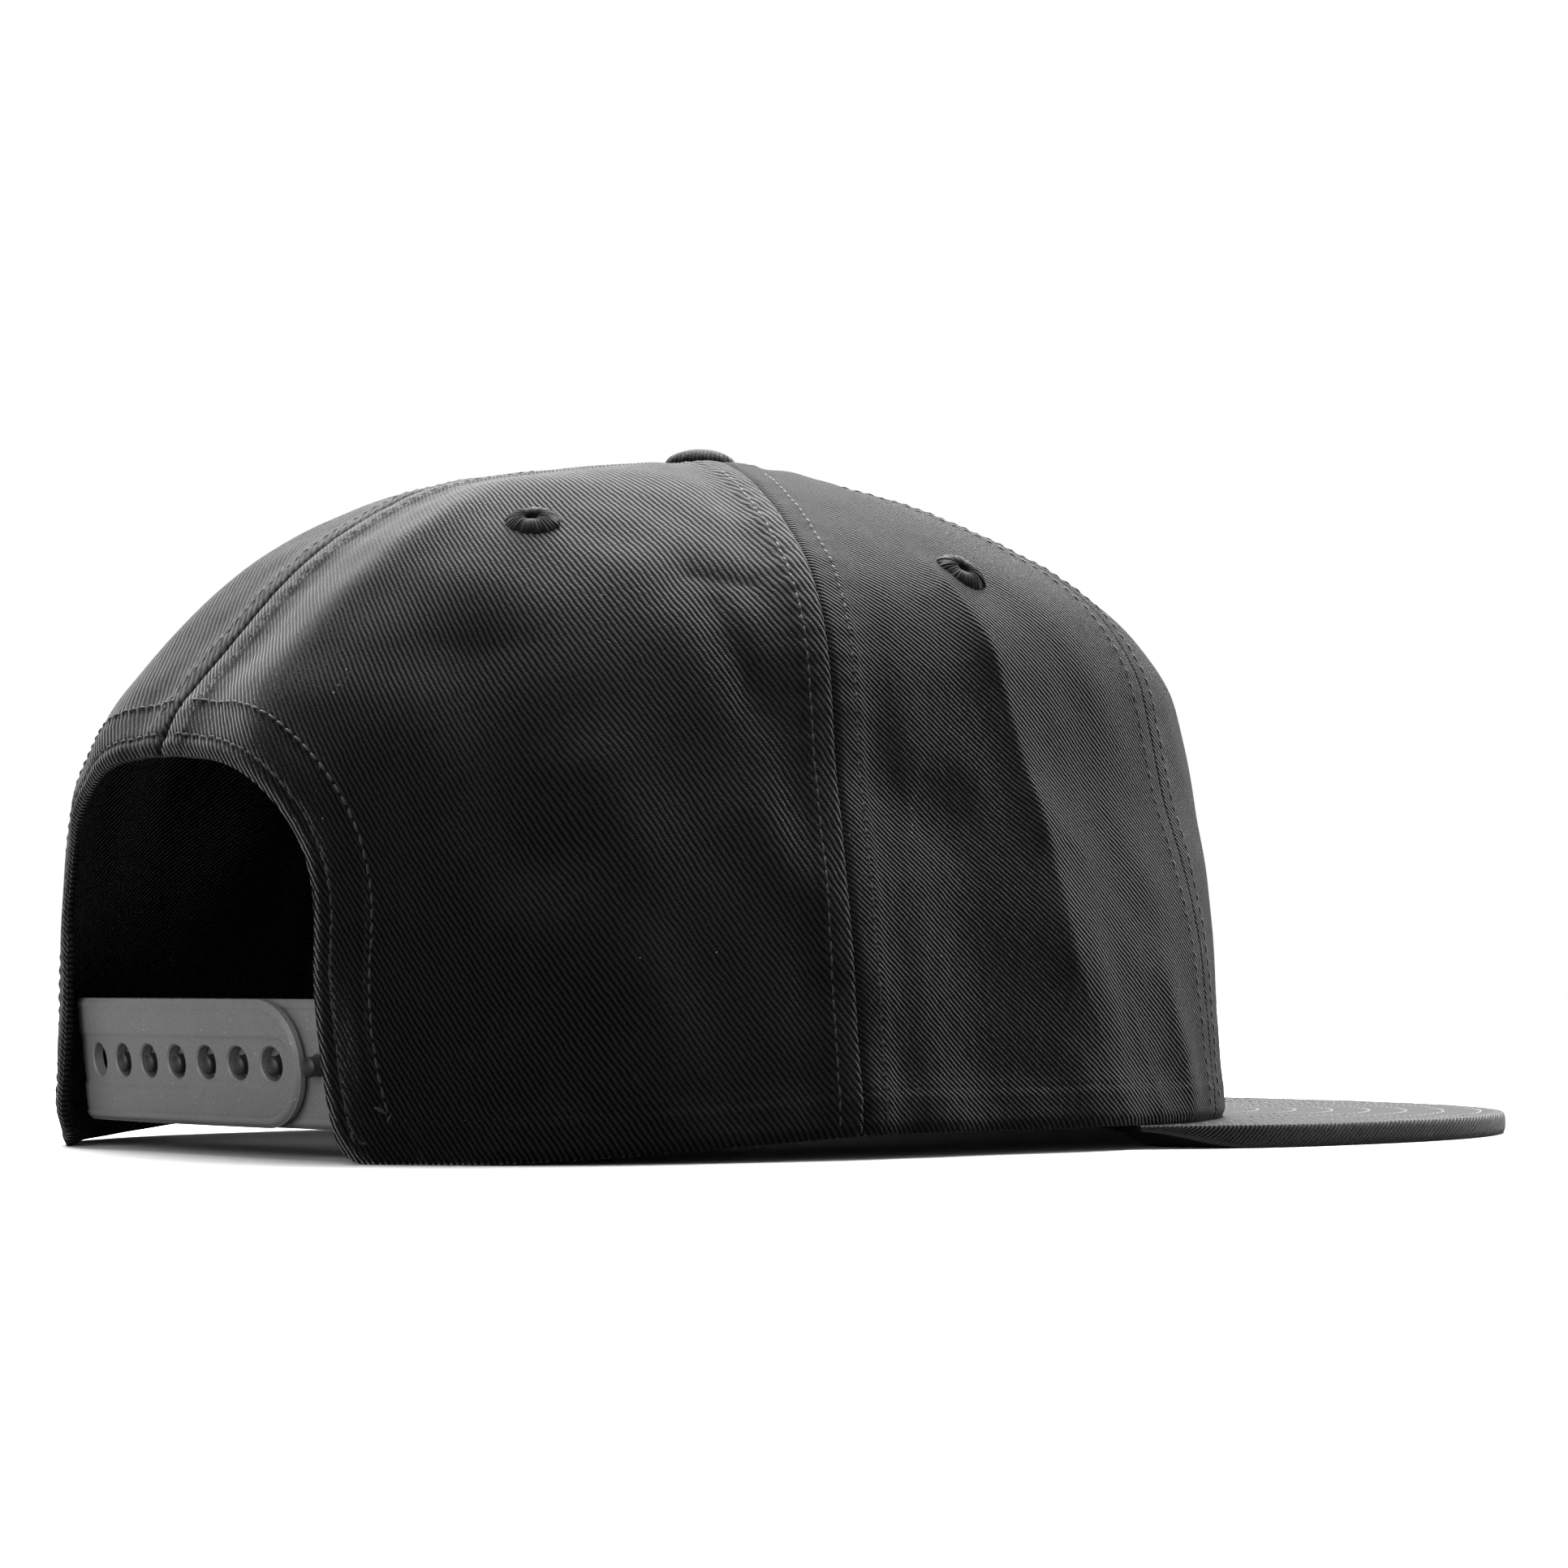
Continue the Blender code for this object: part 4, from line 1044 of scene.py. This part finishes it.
def mix_node(tree, factor, first, second):
    """The first colour where the factor is 0 and the second where it is 1."""
    node = tree.nodes.new("ShaderNodeMix")
    node.data_type = "RGBA"
    set_inputs(node, {"Factor": factor, "A": first, "B": second})
    return node.outputs["Result"]


def bump_node(tree, height, strength, distance):
    """A normal tilted by a height."""
    inputs = {"Height": height, "Strength": strength, "Distance": distance}
    return add_node(tree, "Bump", inputs).outputs[0]


def colour_ramp(tree, value, stops):
    """A ramp of colours over a value."""
    node = tree.nodes.new("ShaderNodeValToRGB")
    ramp = node.color_ramp
    for element, (position, colour) in zip(ramp.elements, stops):
        element.position = position
        element.color = (*colour, 1.0)
    tree.links.new(value, node.inputs[0])
    return node.outputs[0]


def lint_mask(tree, vector, cell, size, share):
    """1 on rare small specks of lint or dust."""
    spots = add_node(tree, "TexVoronoi", {"Vector": vector, "Scale": 1 / cell})
    near = math_node(tree, "LESS_THAN", spots.outputs["Distance"], size / cell)
    parts = add_node(tree, "SeparateColor", {0: spots.outputs["Color"]})
    rare = math_node(tree, "LESS_THAN", parts.outputs[0], share)
    return math_node(tree, "MULTIPLY", near, rare)


def weave_height(tree, flat, wale_angle):
    """The height of twill's diagonal wales and of the short floats that make them up."""
    drift = noise_node(tree, flat, 420.0, 3.0, output="Color")
    shift = add_node(tree, "VectorMath", {0: drift, 1: (WALE_DRIFT, WALE_DRIFT, 0.0), 2: flat},
                     "MULTIPLY_ADD")
    turn = tree.nodes.new("ShaderNodeVectorRotate")
    turn.rotation_type = "Z_AXIS"
    set_inputs(turn, {"Vector": shift.outputs[0], "Angle": math.radians(wale_angle)})
    parts = add_node(tree, "SeparateXYZ", {0: turn.outputs[0]})
    along = math_node(tree, "DIVIDE", parts.outputs[0], WALE_PITCH)
    across = math_node(tree, "DIVIDE", parts.outputs[1], WALE_PITCH)
    # The wales, rounded like cords with sunk gaps, which the twill's colour darkens as painted shade
    swing = math_node(tree, "SINE", math_node(tree, "MULTIPLY", across, 2 * math.pi))
    wale = math_node(tree, "POWER", math_node(tree, "MULTIPLY_ADD", swing, 0.5, 0.5), 0.8)
    # The floats, set off from one wale to the next
    row = math_node(tree, "FLOOR", math_node(tree, "ADD", across, 0.25))
    phase = math_node(tree, "MULTIPLY_ADD", row, 0.37, along)
    beat = math_node(tree, "SINE", math_node(tree, "MULTIPLY", phase, 2 * math.pi * 1.6))
    floats = math_node(tree, "MULTIPLY_ADD", beat, 0.09, 0.91)
    fuzz = noise_node(tree, flat, 2400.0, 3.0, 0.65)
    return math_node(tree, "MULTIPLY_ADD", fuzz, 0.45, math_node(tree, "MULTIPLY", wale, floats))


def twill_material(name, wale_angle, depth, tones, sheen):
    """Cotton twill, worn a little unevenly, with painted shade in the gaps between its wales, and with
    lint.
    """
    material, tree, shader = new_material(name)
    uv = tree.nodes.new("ShaderNodeUVMap")
    uv.uv_map = "weave"
    flat = uv.outputs[0]
    height = weave_height(tree, flat, wale_angle)
    worn = noise_node(tree, flat, 60.0, 5.0, 0.6)
    # Tone: random wear plus the weave's height, so the gaps between wales get painted shade
    tone = math_node(tree, "MULTIPLY_ADD", worn, 0.5, math_node(tree, "ADD", height, -0.45))
    colour = colour_ramp(tree, tone, ((0.05, tones[0]), (0.95, tones[1])))
    lint = lint_mask(tree, flat, 5.0 * MM, 0.15 * MM, 0.30)
    set_inputs(shader, {
        "Base Color": mix_node(tree, lint, colour, LINT_COLOUR),
        "Normal": bump_node(tree, height, 1.0, depth),
        "Roughness": 0.62,
        "Specular IOR Level": 0.05,
        "Sheen Weight": sheen,
        "Sheen Roughness": 0.20,
        "Sheen Tint": (0.93, 0.92, 0.95, 1.0),
    })
    return material


def thread_material(name, colour, gloss, sheen):
    """Twisted sewing thread."""
    material, tree, shader = new_material(name)
    spot = tree.nodes.new("ShaderNodeTexCoord").outputs["Object"]
    grain = noise_node(tree, spot, 3200.0, 2.0)
    darker = tuple(0.5 * part for part in colour)
    set_inputs(shader, {
        "Base Color": colour_ramp(tree, grain, ((0.3, darker), (0.75, colour))),
        "Normal": bump_node(tree, grain, 0.5, 0.06 * MM),
        "Roughness": 0.62,
        "Specular IOR Level": gloss,
        "Sheen Weight": sheen,
    })
    return material


def plastic_material(name, dark, pale):
    """Moulded plastic with a fine grain, faint scuffs and dust, between two greys."""
    material, tree, shader = new_material(name)
    spot = tree.nodes.new("ShaderNodeTexCoord").outputs["Object"]
    grain = noise_node(tree, spot, 3600.0, 3.0, 0.7)
    scuff = noise_node(tree, spot, 160.0, 5.0, 0.65)
    speckle = math_node(tree, "MULTIPLY_ADD", grain, 0.8, math_node(tree, "MULTIPLY", scuff, 0.2))
    base = colour_ramp(tree, speckle, ((0.3, (dark, dark, dark)), (0.75, (pale, pale, pale))))
    dust = lint_mask(tree, spot, 1.7 * MM, 0.14 * MM, 0.45)
    set_inputs(shader, {
        "Base Color": mix_node(tree, dust, base, DUST_COLOUR),
        "Normal": bump_node(tree, grain, 0.6, 0.04 * MM),
        "Roughness": math_node(tree, "MULTIPLY_ADD", scuff, 0.16, 0.36),
        "Specular IOR Level": 0.8,
    })
    return material


def floor_material():
    """Pale paper that throws only part of its light back onto the cap."""
    material, tree, shader = new_material("floor_paper")
    seen = tree.nodes.new("ShaderNodeLightPath").outputs["Is Camera Ray"]
    colour = mix_node(tree, seen, (0.12, 0.12, 0.12, 1.0), (0.90, 0.90, 0.90, 1.0))
    set_inputs(shader, {"Base Color": colour, "Roughness": 0.9, "Specular IOR Level": 0.1})
    return material


def studio_glow(tree):
    """The strength of the studio's light from each direction."""
    way = tree.nodes.new("ShaderNodeTexCoord").outputs["Generated"]
    glow = FILL
    for direction, low, high, strength in LAMPS:
        inputs = {0: way, 1: Vector(direction).normalized()}
        near = add_node(tree, "VectorMath", inputs, "DOT_PRODUCT").outputs["Value"]
        ramp = tree.nodes.new("ShaderNodeMapRange")
        ramp.interpolation_type = "SMOOTHSTEP"
        set_inputs(ramp, {"Value": near, "From Min": low, "From Max": high, "To Max": strength})
        glow = math_node(tree, "ADD", ramp.outputs[0], glow)
    return glow


def make_stage():
    """A plain pale floor in a studio lit from above, behind and both sides."""
    bpy.ops.mesh.primitive_circle_add(vertices=96, radius=4.0, fill_type="NGON")
    floor = bpy.context.object
    floor.name = "floor"
    floor.data.materials.append(floor_material())
    world = bpy.data.worlds.new("studio")
    bpy.context.scene.world = world
    world.use_nodes = True
    tree = world.node_tree
    tree.nodes.clear()
    light = add_node(tree, "Background", {"Color": WHITE, "Strength": studio_glow(tree)})
    backdrop = add_node(tree, "Background", {"Color": WHITE, "Strength": 1.0})
    seen = tree.nodes.new("ShaderNodeLightPath").outputs["Is Camera Ray"]
    mix = add_node(tree, "MixShader", {0: seen, 1: light.outputs[0], 2: backdrop.outputs[0]})
    add_node(tree, "OutputWorld", {"Surface": mix.outputs[0]})
    bpy.context.scene.view_settings.view_transform = "Standard"


def make_camera():
    """The photograph's camera: behind the cap's right side, just above the floor."""
    outward = Vector((-math.sin(CAMERA_AZIMUTH), -math.cos(CAMERA_AZIMUTH), 0.0))
    data = bpy.data.cameras.new("camera")
    data.sensor_width = SENSOR_MM
    data.lens = SENSOR_MM * FOCAL_SHARE
    data.clip_start, data.clip_end = 0.01, 20.0
    camera = bpy.data.objects.new("camera", data)
    bpy.context.scene.collection.objects.link(camera)
    camera.location = Vector((0.0, AXIS_Y, CAMERA_HEIGHT)) + outward * CAMERA_DISTANCE
    ahead = Matrix.Rotation(-CAMERA_TURN, 3, "Z") @ -outward
    ahead = ahead * math.cos(CAMERA_LIFT) + Vector((0.0, 0.0, math.sin(CAMERA_LIFT)))
    camera.rotation_mode = "QUATERNION"
    camera.rotation_quaternion = ahead.to_track_quat("-Z", "Y")
    bpy.context.scene.camera = camera


def dress_strap():
    """Dress the snap closure: the holed strap, the strap with posts and the posts."""
    plastic = plastic_material("strap_plastic", 0.19, 0.36)
    post_plastic = plastic_material("post_plastic", 0.02, 0.04)
    holed = make_strap("holed_strap", STRAP_TUCKED_X, STRAP_END_X, 0.0, plastic, True)
    cut_holes(holed)
    place(holed, ["strap_holes"], "strap")
    posted = make_strap("posted_strap", -STRAP_TUCKED_X, POST_STRAP_END_X, LAP_INSET, plastic, False)
    place(posted, ["strap_posts"], "strap")
    place(make_posts(post_plastic), [], "strap")


def main():
    """Dress the cap and set the stage."""
    thread = thread_material("sewing_thread", (0.034, 0.034, 0.036), 0.30, 0.30)
    satin = thread_material("eyelet_thread", (0.007, 0.007, 0.008), 0.12, 0.03)
    for name, seams in PANELS.items():
        angle, sheen = PANEL_TWILLS[name]
        material = twill_material("twill_" + name, angle, 0.30 * MM, TWILL_TONES, sheen)
        place(make_panel(name, seams, material), [name], "twill")
    place(make_mesh("crown_stitches", *sew(crown_paths()), thread), [], "thread")
    bill_twill = twill_material("twill_bill", 40, 0.04 * MM, TWILL_TONES, 0.03)
    # The bill's edge twill is lighter than the rest: painted light on the edge
    painted_light_edge_twill = twill_material("twill_bill_edge_painted_light", 40, 0.32 * MM, BILL_EDGE_PAINTED_LIGHT_TONES, 0.45)
    place(make_bill(bill_twill, painted_light_edge_twill), ["bill"], "bill_twill")
    place(make_mesh("bill_stitches", *sew(bill_paths()), thread), [], "thread")
    button_twill = twill_material("twill_button", 45, 0.16 * MM, TWILL_TONES, 0.08)
    place(make_button(button_twill), ["top_button"], "twill")
    for name, azimuth, share in EYELETS:
        place(make_eyelet(name, azimuth, share, satin), [name], "thread")
    dress_strap()
    make_stage()
    make_camera()


main()
